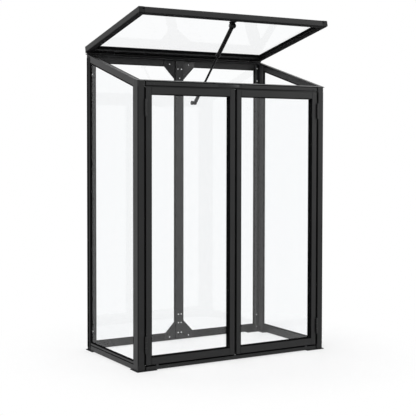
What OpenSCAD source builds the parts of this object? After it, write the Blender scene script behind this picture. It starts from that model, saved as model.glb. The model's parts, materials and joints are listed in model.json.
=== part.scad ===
// Small free-standing glass greenhouse: a slim metal frame with glazed sides and rear,
// two hinged glass doors, and a glazed roof lid that a telescopic stay holds open.
// The origin is the middle of the footprint on the floor, with the doors facing -Y.

/* [Overall] */
// Width over the feet
overall_w = 776; // [600:1:1000]
// Depth over the feet
overall_d = 415; // [340:1:560]
// Height to the top rear edge of the closed lid
overall_h = 1111; // [800:1:1500]
// Slope of the roof, in degrees
roof_pitch = 16.5; // [8:0.5:24]

/* [Frame] */
// How far the feet and the roof strips stand out past the posts
lip = 4; // [1:0.5:6]
// Thickness of a foot
foot_t = 2.5; // [2:0.5:8]
// Length of a foot along the front or the rear
foot_x = 75; // [40:1:120]
// Length of a foot along a side
foot_y = 55; // [40:1:100]
// Width of a foot's arms
foot_arm = 24; // [14:1:40]
// Width of a front post seen from the front
post_w = 26; // [22:1:40]
// Width of a rear post seen from the rear
rear_post_w = 34; // [26:1:44]
// Width of a corner post seen from the side
post_d = 32; // [28:1:45]
// Radius of a post's outer corner
post_r = 4; // [1:0.5:6]
// Thickness of the glazed walls
wall_t = 8; // [6:0.5:12]
// Height of the side and rear bottom rails
bottom_rail_h = 27; // [18:1:40]
// Distance of the reveal groove below the top of a bottom rail
reveal_down = 6; // [3:0.5:8]
// Width of the reveal groove
reveal_w = 4; // [1:0.5:5]
// Depth of the reveal groove
reveal_d = 1.4; // [0.5:0.1:1.4]
// Height of the front sill
sill_h = 12; // [8:1:30]
// Height of the front lintel
lintel_h = 15; // [10:1:30]
// Depth of the front sill and lintel
sill_d = 12; // [8:1:20]
// Depth of the shadow gap between the posts and the ends of the sill and lintel
joint_d = 6; // [3:0.5:7]
// Height of the side roof rails, square to the slope
roof_rail_h = 24; // [18:1:40]
// Height of the rear top rail
rear_rail_h = 32; // [26:1:48]
// Thickness of the strips that cap the walls
strip_t = 2; // [1:0.5:4]
// Width of the strips that cap the walls
strip_w = 14; // [10:1:24]
// Width of the strip that carries the lid hinges
hinge_strip_w = 22; // [20:1:30]
// Width of the upright in the middle of the rear wall
mullion_w = 34; // [26:1:60]
// Thickness of the upright's cover bar over the gussets
cover_t = 5; // [3:0.5:8]

/* [Gussets] */
// Thickness of a gusset plate
gusset_t = 2; // [1:0.5:4]
// Width of the upper gusset where it meets the rail
upper_gusset_w = 116; // [80:1:160]
// Width of the lower gusset where it meets the rail
lower_gusset_w = 104; // [80:1:160]
// Height of the lower gusset's wide part on its rail
lower_base_h = 20; // [10:1:24]
// Height of the upper gusset's taper
upper_taper_h = 48; // [20:1:80]
// Height of the lower gusset's taper
lower_taper_h = 36; // [20:1:80]
// Height of the upper gusset's narrow strap
upper_strap_h = 20; // [10:1:80]
// Height of the lower gusset's narrow strap
lower_strap_h = 56; // [10:1:80]
// How far a gusset's wide part stays below what is over it
gusset_clear = 1; // [0.5:0.5:4]

/* [Glazing] */
// Thickness of the glass
glass_t = 3; // [2:0.5:4]
// Depth of a glazing groove
groove_d = 8; // [5:0.5:8]
// Play of the glass in its groove, on each side
glass_play = 0.2; // [0.1:0.05:0.4]

/* [Doors] */
// Gap round each door
door_gap = 5; // [5:0.5:8]
// Thickness of a door
door_t = 24; // [18:1:30]
// Width of a door stile
stile_w = 20; // [16:1:30]
// Height of a door's top and bottom rails
door_rail_h = 24; // [20:1:40]
// Depth of the glass behind a door's front face
door_glass_set = 12; // [4:0.5:14]
// Chamfer along the edges of the door and lid bars
edge = 1; // [0.5:0.25:2]

/* [Lid] */
// Gap between the closed lid and the frame
lid_gap = 5; // [5:0.5:8]
// Thickness of the lid
lid_t = 20; // [16:1:30]
// Width of the lid's bars
lid_bar_w = 22; // [18:1:35]
// How far the closed lid reaches past the front
lid_overhang = 10; // [0:1:20]
// Depth of the glass below the lid's top
lid_glass_set = 6; // [3:0.5:10]
// How far the lid stands open, in degrees
lid_open = 29; // [10:1:45]

/* [Hinges] */
// Length of a hinge
hinge_len = 54; // [40:1:80]
// Radius of a hinge knuckle
knuckle_r = 4; // [3.5:0.25:5]
// Radius of a hinge pin
pin_r = 2; // [1.5:0.25:2.5]
// Radial play of a pin in its knuckle
pin_play = 0.05; // [0.02:0.01:0.1]
// How far a pin's axis stands out from the faces it joins
pin_proud = 3; // [3:0.25:5]
// Thickness of a hinge leaf
leaf_t = 2; // [1:0.25:2]
// Depth of a hinge leaf
leaf_d = 16; // [10:1:18]
// Distance from a door's end to the near end of its hinge
door_hinge_inset = 42; // [30:1:150]
// Distance of a lid hinge's middle from the centre
lid_hinge_x = 300; // [200:1:320]
// Clearance round a knuckle and between knuckles
knuckle_play = 0.5; // [0.3:0.1:0.5]
// Width of the mortise round a door hinge's knuckle
mortise_play = 2.5; // [1:0.25:3]

/* [Stay] */
// Radius of the stay's tube
stay_tube_r = 7.5; // [6:0.5:10]
// Length of the stay's tube, from its pivot
stay_tube_len = 138; // [130:1:170]
// Radius of the stay's rod
stay_rod_r = 4; // [3:0.25:5]
// Play of the rod in the tube
stay_play = 0.1; // [0.05:0.05:0.3]
// Length of the rod inside the tube when the lid is open
stay_hold = 8; // [6:1:20]
// Radius of the sleeve at the stay's lower end
stay_sleeve_r = 6.5; // [5:0.5:9]
// Length of that sleeve
stay_sleeve_len = 66; // [30:1:90]
// Radius of the stay's ball and socket ends
stay_end_r = 7.5; // [6:0.5:9]
// Radius of the studs at the stay's ends
stay_stud_r = 3; // [2:0.25:4]
// Distance of the upper pivot behind the lid's front bar
stay_pivot_back = 20; // [14:1:40]
// Distance of the upper pivot below the lid
stay_pivot_drop = 9; // [1:0.5:14]
// Distance from the rear face to the stay's lower end
stay_foot_from_rear = 128; // [60:1:200]
// Height of the stay's lower end
stay_foot_z = 911; // [600:1:1000]

/* [Hidden] */
$fn = 48;

frame_colour = "#2f3133";
seat_colour = "#45484b";
glass_colour = "#dfe8ec55";
rod_colour = "#55585b";

// Cuts reach this far past a face
past = 1;
frame_x = overall_w / 2 - lip;
frame_y = overall_d / 2 - lip;
rear_h = overall_h - (lid_gap + lid_t) * cos(roof_pitch);
front_h = rear_h - 2 * frame_y * tan(roof_pitch);
slope_len = 2 * frame_y / cos(roof_pitch);

groove_w = glass_t + 2 * glass_play;
groove_reach = groove_d - glass_play;
groove_near = (wall_t - groove_w) / 2;
opening_x = frame_x - post_w;
rail_top = foot_t + bottom_rail_h;
rear_opening_x = frame_x - rear_post_w;
rear_rail_bottom = rear_h - rear_rail_h;
// Underside of the hinge strip over the inner face of the upper gusset
gusset_ceiling = rear_h - (wall_t + gusset_t) * tan(roof_pitch) - strip_t / cos(roof_pitch);
gusset_top = gusset_ceiling - gusset_clear;
gusset_floor = rail_top - lower_base_h - gusset_clear;
upper_base_h = gusset_top - rear_rail_bottom;
// The cover bar is seated on the upright between these heights, clear of the gussets' straps
seat_low = gusset_floor + lower_base_h + lower_taper_h + lower_strap_h;
seat_top = rear_rail_bottom - upper_taper_h - upper_strap_h;
arc_steps = 6;

door_w = opening_x - 1.5 * door_gap;
door_bottom = foot_t + sill_h + door_gap;
door_top = front_h - lintel_h - door_gap;
door_h = door_top - door_bottom;
door_pin_x = -opening_x + door_gap / 2;
door_pin_y = -frame_y - pin_proud;
door_hinge_z = [door_bottom + door_hinge_inset, door_top - door_hinge_inset - hinge_len];
knuckle_len = hinge_len / 3;

lid_pin_y = slope_len + pin_proud;
lid_pin_n = lid_gap / 2;
lid_len = slope_len + lid_overhang;
lid_in_w = overall_w - 2 * lid_bar_w;
lid_hinge_starts = [-lid_hinge_x - hinge_len / 2, lid_hinge_x - hinge_len / 2];

// The open lid's front bar ends here, in the closed lid's own frame
bar_back = lid_bar_w - lid_overhang;
pivot_y = bar_back + stay_pivot_back;
pivot_n = lid_gap - stay_pivot_drop;
lug_x = 3;
lug_t = 3;
bracket_w = 28;
bracket_margin = 2;
lug_r = stay_stud_r + 4;

// A point of the roof's frame, [along the slope, square to it], in the part's [y, z]
function roof_point(s, n) = [
    -frame_y + s * cos(roof_pitch) - n * sin(roof_pitch),
    front_h + s * sin(roof_pitch) + n * cos(roof_pitch)
];
// A [y, z] point turned about another by an angle
function turned(p, c, a) = [
    c[0] + (p[0] - c[0]) * cos(a) - (p[1] - c[1]) * sin(a),
    c[1] + (p[0] - c[0]) * sin(a) + (p[1] - c[1]) * cos(a)
];
// Points of an arc about a centre
function arc(c, r, a0, a1) = [
    for (i = [0 : arc_steps])
        let (a = a0 + (a1 - a0) * i / arc_steps)
            [c[0] + r * cos(a), c[1] + r * sin(a)]
];

lid_pin = roof_point(lid_pin_y, lid_pin_n);
stay_top = turned(roof_point(pivot_y, pivot_n), lid_pin, -lid_open);
stay_foot = [frame_y - stay_foot_from_rear, stay_foot_z];
stay_len = norm(stay_foot - stay_top);
stay_angle = atan2(stay_foot[1] - stay_top[1], stay_foot[0] - stay_top[0]);
stay_rod_top = stay_tube_len - stay_hold;
stay_bore_end = 15;
stay_neck = stay_end_r + 2;
stud_reach = 15;
stud_head_t = 6;

// Mirrors its child to the right half when asked
module right_side(on) {
    if (on) mirror([1, 0, 0]) children();
    else children();
}

// Mirrors its child to the rear half when asked
module rear_side(on) {
    if (on) mirror([0, 1, 0]) children();
    else children();
}

// The roof's frame: y runs up the slope from the front, z is square to it
module on_roof() {
    translate([0, -frame_y, front_h]) rotate([roof_pitch, 0, 0]) children();
}

// The roof's frame turned with the open lid
module on_lid() {
    on_roof() translate([0, lid_pin_y, lid_pin_n]) rotate([-lid_open, 0, 0])
        translate([0, -lid_pin_y, -lid_pin_n]) children();
}

// Everything above a plane parallel to the roof
module above_roof(n) {
    on_roof() translate([-overall_w, -overall_d, n]) cube([2 * overall_w, 3 * overall_d, overall_h]);
}

// Section of a front post, from its outer corner: box leg to the front, glazed leg to the side
module front_post_section() {
    polygon(concat(
        arc([post_r, post_r], post_r, 180, 270),
        [
            [post_w, 0], [post_w, door_t], [wall_t, door_t], [wall_t, post_d],
            [groove_near + groove_w, post_d], [groove_near + groove_w, post_d - groove_d],
            [groove_near, post_d - groove_d], [groove_near, post_d], [0, post_d]
        ]
    ));
}

// Section of a rear post, from its outer corner: an angle with a glazing groove in each leg
module rear_post_section() {
    polygon(concat(
        arc([post_r, post_r], post_r, 180, 270),
        [
            [rear_post_w, 0], [rear_post_w, groove_near], [rear_post_w - groove_d, groove_near],
            [rear_post_w - groove_d, groove_near + groove_w], [rear_post_w, groove_near + groove_w],
            [rear_post_w, wall_t], [wall_t, wall_t], [wall_t, post_d],
            [groove_near + groove_w, post_d], [groove_near + groove_w, post_d - groove_d],
            [groove_near, post_d - groove_d], [groove_near, post_d], [0, post_d]
        ]
    ));
}

// Front post with mortises for its hinge knuckles
module front_post(right) {
    color(frame_colour) right_side(right) difference() {
        translate([-frame_x, -frame_y, foot_t]) linear_extrude(overall_h) front_post_section();
        above_roof(-strip_t);
        door_mortises();
    }
}

module rear_post(right) {
    color(frame_colour) right_side(right) rear_side(true) difference() {
        translate([-frame_x, -frame_y, foot_t]) linear_extrude(overall_h) rear_post_section();
        rear_side(true) above_roof(-strip_t);
    }
}

// Bar with a glazing groove along its top and a reveal along its outer face, from the origin along +X
module grooved_rail(len, h) {
    reveal_top = h - reveal_down;
    reveal_low = reveal_top - reveal_w;
    rotate([90, 0, 90]) linear_extrude(len) polygon([
        [0, 0], [wall_t, 0], [wall_t, reveal_low], [wall_t - reveal_d, reveal_low],
        [wall_t - reveal_d, reveal_top], [wall_t, reveal_top], [wall_t, h],
        [groove_near + groove_w, h], [groove_near + groove_w, h - groove_d],
        [groove_near, h - groove_d], [groove_near, h], [0, h]
    ]);
}

// Side bottom rail, between the posts
module side_bottom_rail(right) {
    color(frame_colour) right_side(right)
        translate([-frame_x + wall_t, -frame_y + post_d, foot_t]) rotate([0, 0, 90])
            grooved_rail(2 * (frame_y - post_d), bottom_rail_h);
}

module rear_bottom_rail() {
    color(frame_colour) translate([-rear_opening_x, frame_y - wall_t, foot_t])
        grooved_rail(2 * rear_opening_x, bottom_rail_h);
}

// Sloped rail between the posts, and the strip that caps it and the posts
module roof_rail(right) {
    color(frame_colour) right_side(right) union() {
        difference() {
            intersection() {
                on_roof() translate([-frame_x, 0, -roof_rail_h])
                    cube([wall_t, slope_len, roof_rail_h - strip_t / 2]);
                translate([-overall_w, -frame_y + post_d, 0])
                    cube([2 * overall_w, 2 * (frame_y - post_d), 2 * overall_h]);
            }
            on_roof() translate([-frame_x + groove_near, -past, -roof_rail_h - past])
                cube([groove_w, slope_len + 2 * past, groove_d + past]);
        }
        on_roof() translate([-frame_x - lip, 0, -strip_t]) cube([strip_w + lip, slope_len, strip_t]);
    }
}

// Rail across the rear of the roof, capped by the strip that carries the lid hinges
module rear_top_rail() {
    color(frame_colour) difference() {
        union() {
            difference() {
                translate([-rear_opening_x, frame_y - wall_t, rear_rail_bottom])
                    cube([2 * rear_opening_x, wall_t, rear_rail_h]);
                above_roof(-strip_t / 2);
            }
            on_roof() translate([-frame_x + strip_w, slope_len - hinge_strip_w, -strip_t])
                cube([2 * (frame_x - strip_w), hinge_strip_w, strip_t]);
        }
        translate([-rear_opening_x - past, frame_y - wall_t + groove_near, rear_rail_bottom - past])
            cube([2 * (rear_opening_x + past), groove_w, groove_d + past]);
        on_roof() lid_mortises();
    }
}

// Bar between the front posts, stepped back at its ends so that the door gap runs on past it
module front_bar(z, h) {
    translate([-opening_x, -frame_y + joint_d, z]) cube([2 * opening_x, sill_d - joint_d, h]);
    translate([-opening_x + door_gap, -frame_y, z]) cube([2 * (opening_x - door_gap), sill_d, h]);
}

module front_lintel() {
    color(frame_colour) union() {
        difference() {
            front_bar(front_h - lintel_h, 2 * lintel_h);
            above_roof(-strip_t / 2);
        }
        on_roof() translate([-frame_x + strip_w, 0, -strip_t])
            cube([2 * (frame_x - strip_w), strip_w, strip_t]);
    }
}

module front_sill() {
    color(frame_colour) union() front_bar(foot_t, sill_h);
}

// Upright between the two rear panes, grooved on both sides
module mullion_bar() {
    side = mullion_w / 2;
    web = side - groove_d;
    far = groove_near + groove_w;
    translate([0, 0, rail_top]) linear_extrude(rear_rail_bottom - rail_top) polygon([
        [-side, 0], [side, 0], [side, groove_near], [web, groove_near], [web, far],
        [side, far], [side, wall_t], [-side, wall_t], [-side, far], [-web, far],
        [-web, groove_near], [-side, groove_near]
    ]);
}

// Cover bar that runs over both gussets, chamfered along its front
module mullion_cover() {
    side = mullion_w / 2;
    front = -gusset_t - cover_t;
    translate([0, 0, gusset_floor]) linear_extrude(gusset_top - cover_t - gusset_floor) polygon([
        [-side, -gusset_t], [-side, front + edge], [-side + edge, front],
        [side - edge, front], [side, front + edge], [side, -gusset_t]
    ]);
}

module rear_mullion() {
    color(frame_colour) translate([0, frame_y - wall_t, 0]) union() {
        mullion_bar();
        mullion_cover();
        translate([-mullion_w / 2, -gusset_t, seat_low])
            cube([mullion_w, gusset_t, seat_top - seat_low]);
    }
}

// Gusset plate drawn upwards from its rail: wide base, taper and strap
module gusset_plate(width, base_h, taper_h, strap_h) {
    base = width / 2;
    strap = mullion_w / 2 - edge;
    taper_top = base_h + taper_h;
    strap_top = taper_top + strap_h;
    rotate([90, 0, 0]) linear_extrude(gusset_t) polygon([
        [-base, 0], [base, 0], [base, base_h], [strap, taper_top], [strap, strap_top],
        [-strap, strap_top], [-strap, taper_top], [-base, base_h]
    ]);
}

module upper_gusset() {
    color(seat_colour) translate([0, frame_y - wall_t, gusset_top]) mirror([0, 0, 1])
        gusset_plate(upper_gusset_w, upper_base_h, upper_taper_h, upper_strap_h);
}

module lower_gusset() {
    color(seat_colour) translate([0, frame_y - wall_t, gusset_floor])
        gusset_plate(lower_gusset_w, lower_base_h, lower_taper_h, lower_strap_h);
}

// Angle-shaped feet under the four corners
module corner_feet() {
    color(frame_colour) for (right = [false, true], rear = [false, true])
        right_side(right) rear_side(rear) translate([-overall_w / 2, -overall_d / 2, 0])
            linear_extrude(foot_t) polygon([
                [0, 0], [foot_x, 0], [foot_x, foot_arm], [foot_arm, foot_arm],
                [foot_arm, foot_y], [0, foot_y]
            ]);
}

// Side pane, cut to the roof's slope and held in the grooves all round
module side_pane(right) {
    y_front = -frame_y + post_d - groove_reach;
    low = rail_top - groove_reach;
    drop = (roof_rail_h - groove_reach) / cos(roof_pitch);
    rise = tan(roof_pitch);
    color(glass_colour) right_side(right)
        translate([-frame_x + groove_near + glass_play, 0, 0]) rotate([90, 0, 90])
            linear_extrude(glass_t) polygon([
                [y_front, low], [-y_front, low],
                [-y_front, front_h - drop + (frame_y - y_front) * rise],
                [y_front, front_h - drop + (frame_y + y_front) * rise]
            ]);
}

module rear_pane(right) {
    x_out = -rear_opening_x - groove_reach;
    x_in = -mullion_w / 2 + groove_reach;
    low = rail_top - groove_reach;
    color(glass_colour) right_side(right)
        translate([x_out, frame_y - wall_t + groove_near + glass_play, low])
            cube([x_in - x_out, glass_t, rear_rail_bottom + groove_reach - low]);
}

// Hinge parts stand on the pin's axis along z, with the fixed leaf at -x, the moving leaf at +x,
// and both leaves reaching back along +y.
module knuckle(z0, len) {
    translate([0, 0, z0]) cylinder(r = knuckle_r, h = len);
}

// Room for the other half's knuckle
module knuckle_room(z0, len) {
    translate([0, 0, z0 - knuckle_play]) cylinder(r = knuckle_r + knuckle_play, h = len + 2 * knuckle_play);
}

module fixed_hinge(gap) {
    union() {
        difference() {
            union() {
                translate([-gap / 2, 0, 0]) cube([leaf_t, pin_proud + leaf_d, hinge_len]);
                knuckle(0, hinge_len);
            }
            knuckle_room(knuckle_len, knuckle_len);
        }
        cylinder(r = pin_r, h = hinge_len);
    }
}

module moving_hinge(gap) {
    difference() {
        union() {
            translate([gap / 2 - leaf_t, 0, 0]) cube([leaf_t, pin_proud + leaf_d, hinge_len]);
            knuckle(knuckle_len, knuckle_len);
        }
        knuckle_room(-past, knuckle_len + past);
        knuckle_room(2 * knuckle_len, knuckle_len + past);
        translate([0, 0, -past]) cylinder(r = pin_r + pin_play, h = hinge_len + 2 * past);
    }
}

// Places a hinge part at each of a door's two hinges
module at_door_hinges() {
    for (z = door_hinge_z) translate([door_pin_x, door_pin_y, z]) children();
}

module door_mortises() {
    at_door_hinges() translate([0, 0, -knuckle_play])
        cylinder(r = knuckle_r + mortise_play, h = hinge_len + 2 * knuckle_play);
}

// Turns a hinge part so that its pin lies along the roof's rear edge
module at_lid_hinges() {
    for (x = lid_hinge_starts)
        translate([x, lid_pin_y, lid_pin_n]) rotate([0, 0, 180]) rotate([0, -90, 0]) children();
}

module lid_mortises() {
    at_lid_hinges() knuckle_room(0, hinge_len);
}

// Section of a door or lid bar: chamfered box with a glazing groove in its inner edge
module bar_section(w, t, glass_set) {
    near = glass_set - glass_play;
    polygon([
        [edge, 0], [w - edge, 0], [w, edge], [w, near], [w - groove_d, near],
        [w - groove_d, near + groove_w], [w, near + groove_w], [w, t - edge],
        [w - edge, t], [edge, t], [0, t - edge], [0, edge]
    ]);
}

module door_stile() {
    linear_extrude(door_h) bar_section(stile_w, door_t, door_glass_set);
}

// Door rail along +X, with its groove facing up
module door_rail() {
    rotate([0, 90, 0]) rotate([0, 0, 180]) mirror([0, 1, 0])
        linear_extrude(door_w - 2 * stile_w) bar_section(door_rail_h, door_t, door_glass_set);
}

// Lower outer corner of a closed door's front face
module at_door(right) {
    right_side(right) translate([-opening_x + door_gap, -frame_y, door_bottom]) children();
}

module door_hinge_stile(right) {
    color(frame_colour) difference() {
        at_door(right) door_stile();
        right_side(right) door_mortises();
    }
}

module door_meeting_stile(right) {
    color(frame_colour) at_door(right) translate([door_w, 0, 0]) mirror([1, 0, 0]) door_stile();
}

module door_bottom_rail(right) {
    color(frame_colour) at_door(right) translate([stile_w, 0, 0]) door_rail();
}

module door_top_rail(right) {
    color(frame_colour) at_door(right) translate([stile_w, 0, door_h]) mirror([0, 0, 1]) door_rail();
}

module door_pane(right) {
    side = stile_w - groove_reach;
    low = door_rail_h - groove_reach;
    color(glass_colour) at_door(right) translate([side, door_glass_set, low])
        cube([door_w - 2 * side, glass_t, door_h - 2 * low]);
}

// Lid side bar, with its top at +z
module lid_side_bar(right) {
    color(frame_colour) on_lid() right_side(right)
        translate([-overall_w / 2, slope_len, lid_gap + lid_t]) rotate([90, 0, 0]) mirror([0, 1, 0])
            linear_extrude(lid_len) bar_section(lid_bar_w, lid_t, lid_glass_set);
}

// Lid cross bar along +X from the origin, with its groove towards +y
module lid_cross_bar() {
    rotate([90, 0, 90]) mirror([0, 1, 0])
        linear_extrude(lid_in_w) bar_section(lid_bar_w, lid_t, lid_glass_set);
}

module lid_front_bar() {
    color(frame_colour) on_lid() translate([-lid_in_w / 2, -lid_overhang, lid_gap + lid_t]) lid_cross_bar();
}

module lid_rear_bar() {
    color(frame_colour) on_lid() difference() {
        translate([-lid_in_w / 2, slope_len, lid_gap + lid_t]) mirror([0, 1, 0]) lid_cross_bar();
        lid_mortises();
    }
}

module lid_pane() {
    side = lid_bar_w - groove_reach;
    color(glass_colour) on_lid()
        translate([-overall_w / 2 + side, -lid_overhang + side, lid_gap + lid_t - lid_glass_set - glass_t])
            cube([overall_w - 2 * side, lid_len - 2 * side, glass_t]);
}

// Plate on the lid's front bar, with a lug and a stud for the stay
module stay_bracket() {
    color(seat_colour) on_lid() union() {
        translate([-bracket_w / 2, bar_back, lid_gap + bracket_margin])
            cube([bracket_w, bracket_margin, lid_t - lid_glass_set - glass_t - 2 * bracket_margin]);
        translate([lug_x, bar_back, lid_gap + bracket_margin])
            cube([lug_t, stay_pivot_back + lug_r, lug_r]);
        translate([lug_x, pivot_y - lug_r, pivot_n])
            cube([lug_t, 2 * lug_r, stay_pivot_drop + bracket_margin + past]);
        translate([lug_x, pivot_y, pivot_n]) rotate([0, 90, 0]) cylinder(r = lug_r, h = lug_t);
        translate([-stay_end_r, pivot_y, pivot_n]) rotate([0, 90, 0])
            cylinder(r = stay_stud_r, h = lug_x + stay_end_r + lug_t);
    }
}

// The stay's own frame: z runs from the upper pivot to the lower end
module on_stay() {
    translate([0, stay_top[0], stay_top[1]]) rotate([stay_angle - 90, 0, 0]) children();
}

module stay_tube() {
    color(frame_colour) on_stay() difference() {
        union() {
            translate([-stay_end_r, 0, 0]) rotate([0, 90, 0])
                cylinder(r = stay_end_r, h = stay_end_r + lug_x - knuckle_play);
            translate([-stay_end_r / 2, 0, 0]) cylinder(r = stay_rod_r, h = stay_bore_end);
            translate([0, 0, stay_neck]) cylinder(r = stay_tube_r, h = stay_tube_len - stay_neck);
        }
        translate([-2 * stay_end_r, 0, 0]) rotate([0, 90, 0])
            cylinder(r = stay_stud_r + pin_play, h = 4 * stay_end_r);
        translate([0, 0, stay_bore_end])
            cylinder(r = stay_rod_r + stay_play, h = stay_tube_len);
    }
}

module stay_rod() {
    sleeve_start = stay_len - stay_neck - stay_sleeve_len;
    color(rod_colour) on_stay() union() {
        translate([0, 0, stay_rod_top]) cylinder(r = stay_rod_r, h = stay_len - stay_neck - stay_rod_top);
        translate([0, 0, sleeve_start]) cylinder(r = stay_sleeve_r, h = stay_sleeve_len);
    }
}

// Socket on the rod's end and the ball stud in it
module stay_ball_end() {
    color(frame_colour) on_stay() translate([0, 0, stay_len]) union() {
        translate([0, 0, -stay_neck]) cylinder(r = stay_rod_r, h = stay_neck);
        sphere(r = stay_end_r);
        translate([-stud_reach, 0, 0]) rotate([0, 90, 0]) cylinder(r = stay_stud_r, h = stud_reach);
        translate([-stud_reach, 0, 0]) rotate([0, 90, 0]) cylinder(r = stay_end_r, h = stud_head_t);
    }
}

front_post(false);  // front_left_post
front_post(true);  // front_right_post
rear_post(false);  // rear_left_post
rear_post(true);  // rear_right_post
front_sill();
front_lintel();
rear_bottom_rail();
rear_top_rail();
side_bottom_rail(false);  // left_bottom_rail
side_bottom_rail(true);  // right_bottom_rail
roof_rail(false);  // left_roof_rail
roof_rail(true);  // right_roof_rail
rear_mullion();
upper_gusset();
lower_gusset();
corner_feet();
side_pane(false);  // left_pane
side_pane(true);  // right_pane
rear_pane(false);  // rear_left_pane
rear_pane(true);  // rear_right_pane
color(frame_colour) at_door_hinges() fixed_hinge(door_gap);  // left_post_hinges
color(frame_colour) right_side(true) at_door_hinges() fixed_hinge(door_gap);  // right_post_hinges
color(frame_colour) on_roof() at_lid_hinges() fixed_hinge(lid_gap);  // roof_hinges
door_hinge_stile(false);  // left_door_hinge_stile
door_meeting_stile(false);  // left_door_meeting_stile
door_top_rail(false);  // left_door_top_rail
door_bottom_rail(false);  // left_door_bottom_rail
door_pane(false);  // left_door_pane
color(frame_colour) at_door_hinges() moving_hinge(door_gap);  // left_door_hinges
door_hinge_stile(true);  // right_door_hinge_stile
door_meeting_stile(true);  // right_door_meeting_stile
door_top_rail(true);  // right_door_top_rail
door_bottom_rail(true);  // right_door_bottom_rail
door_pane(true);  // right_door_pane
color(frame_colour) right_side(true) at_door_hinges() moving_hinge(door_gap);  // right_door_hinges
lid_side_bar(false);  // lid_left_bar
lid_side_bar(true);  // lid_right_bar
lid_front_bar();
lid_rear_bar();
lid_pane();
color(frame_colour) on_lid() at_lid_hinges() moving_hinge(lid_gap);  // lid_hinges
stay_bracket();
stay_tube();
stay_rod();
stay_ball_end();
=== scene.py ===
"""Studio scene of a small glass greenhouse: its finishes, its fittings, the light and the camera.

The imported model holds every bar, pane, hinge and stay part in its place. This script gives each of
them its finish, adds the gusset plates, seals, beads, rivets, screws and stay fittings that ride on
them, and sets up a plain studio round the object. All lengths are metres in the model's own frame:
the doors face -Y, the lid hinges at +Y and +Z is up.
"""
import json
import logging
import math
from dataclasses import dataclass
from enum import Enum
from typing import Any, Sequence

import bmesh
import bpy
from mathutils import Matrix, Vector


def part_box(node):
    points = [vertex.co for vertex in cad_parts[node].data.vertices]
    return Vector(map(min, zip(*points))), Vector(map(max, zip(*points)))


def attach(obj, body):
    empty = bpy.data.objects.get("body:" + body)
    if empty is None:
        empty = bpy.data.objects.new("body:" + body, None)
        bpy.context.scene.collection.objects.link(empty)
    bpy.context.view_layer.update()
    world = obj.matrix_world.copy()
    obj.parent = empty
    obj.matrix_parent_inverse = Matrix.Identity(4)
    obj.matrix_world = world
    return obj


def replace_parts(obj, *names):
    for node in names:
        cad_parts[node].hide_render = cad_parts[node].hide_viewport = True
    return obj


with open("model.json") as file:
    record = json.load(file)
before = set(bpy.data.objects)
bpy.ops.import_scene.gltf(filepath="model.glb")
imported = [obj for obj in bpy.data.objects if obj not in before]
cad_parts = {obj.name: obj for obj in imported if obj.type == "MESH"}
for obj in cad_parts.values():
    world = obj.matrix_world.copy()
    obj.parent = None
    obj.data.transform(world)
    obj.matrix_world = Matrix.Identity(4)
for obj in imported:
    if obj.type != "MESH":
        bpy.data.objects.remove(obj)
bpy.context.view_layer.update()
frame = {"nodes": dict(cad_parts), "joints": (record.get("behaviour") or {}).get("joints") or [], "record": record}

LOG = logging.getLogger("greenhouse")
MM = 0.001
IMAGE_SIDE = 416

# Points closer than WELD are joined; edges past SMOOTH_ANGLE are shaded crisp, and those of a bead
# past RIM_ANGLE are rounded
WELD = 0.001 * MM
SMOOTH_ANGLE = math.radians(32.0)
RIM_ANGLE = math.radians(30.0)

# How closely a face looks in a direction, or lies in a plane, to count as doing so, and the decimal
# places that tell its corners apart
FACING = 0.5
COPLANAR = 0.999
CORNER_DIGITS = 5

Colour = tuple[float, float, float]
Span = tuple[float, float]
Outline = Sequence[Span]

RIGHTWARD = Vector((1.0, 0.0, 0.0))
FRONTWARD = Vector((0.0, -1.0, 0.0))
REARWARD = Vector((0.0, 1.0, 0.0))
UPWARD = Vector((0.0, 0.0, 1.0))


class Body(str, Enum):
    """The rigid bodies of the greenhouse that a piece can ride on."""

    FRAME = "frame"
    LEFT_DOOR = "left_door"
    RIGHT_DOOR = "right_door"
    LID = "lid"
    STAY_TUBE = "stay_tube"
    STAY_ROD = "stay_rod"


class Slot(str, Enum):
    """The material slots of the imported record."""

    FRAME_METAL = "frame_metal"
    HINGE_METAL = "hinge_metal"
    GUSSET_METAL = "gusset_metal"
    STAY_METAL = "stay_metal"
    STAY_ROD_METAL = "stay_rod_metal"
    FOOT_PLASTIC = "foot_plastic"
    GLASS = "glass"


class Side(Enum):
    """The left and right halves of the greenhouse, as signs along X."""

    LEFT = -1
    RIGHT = 1

    @property
    def word(self) -> str:
        """The side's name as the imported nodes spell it."""
        return self.name.lower()

    @property
    def door(self) -> Body:
        """The door that hangs on this side."""
        return Body.LEFT_DOOR if self is Side.LEFT else Body.RIGHT_DOOR

    def span(self, near: float, far: float) -> Span:
        """The X of two places on this side, given as distances from the middle."""
        return self.value * near, self.value * far


def reach(node: str) -> Span:
    """The distances from the middle at which a node of one side starts and ends."""
    low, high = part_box(node)
    return tuple(sorted((abs(low.x), abs(high.x))))


def in_mm(*points: Span) -> Outline:
    """The points of an outline that is written in millimetres."""
    return tuple((first * MM, second * MM) for first, second in points)


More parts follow.
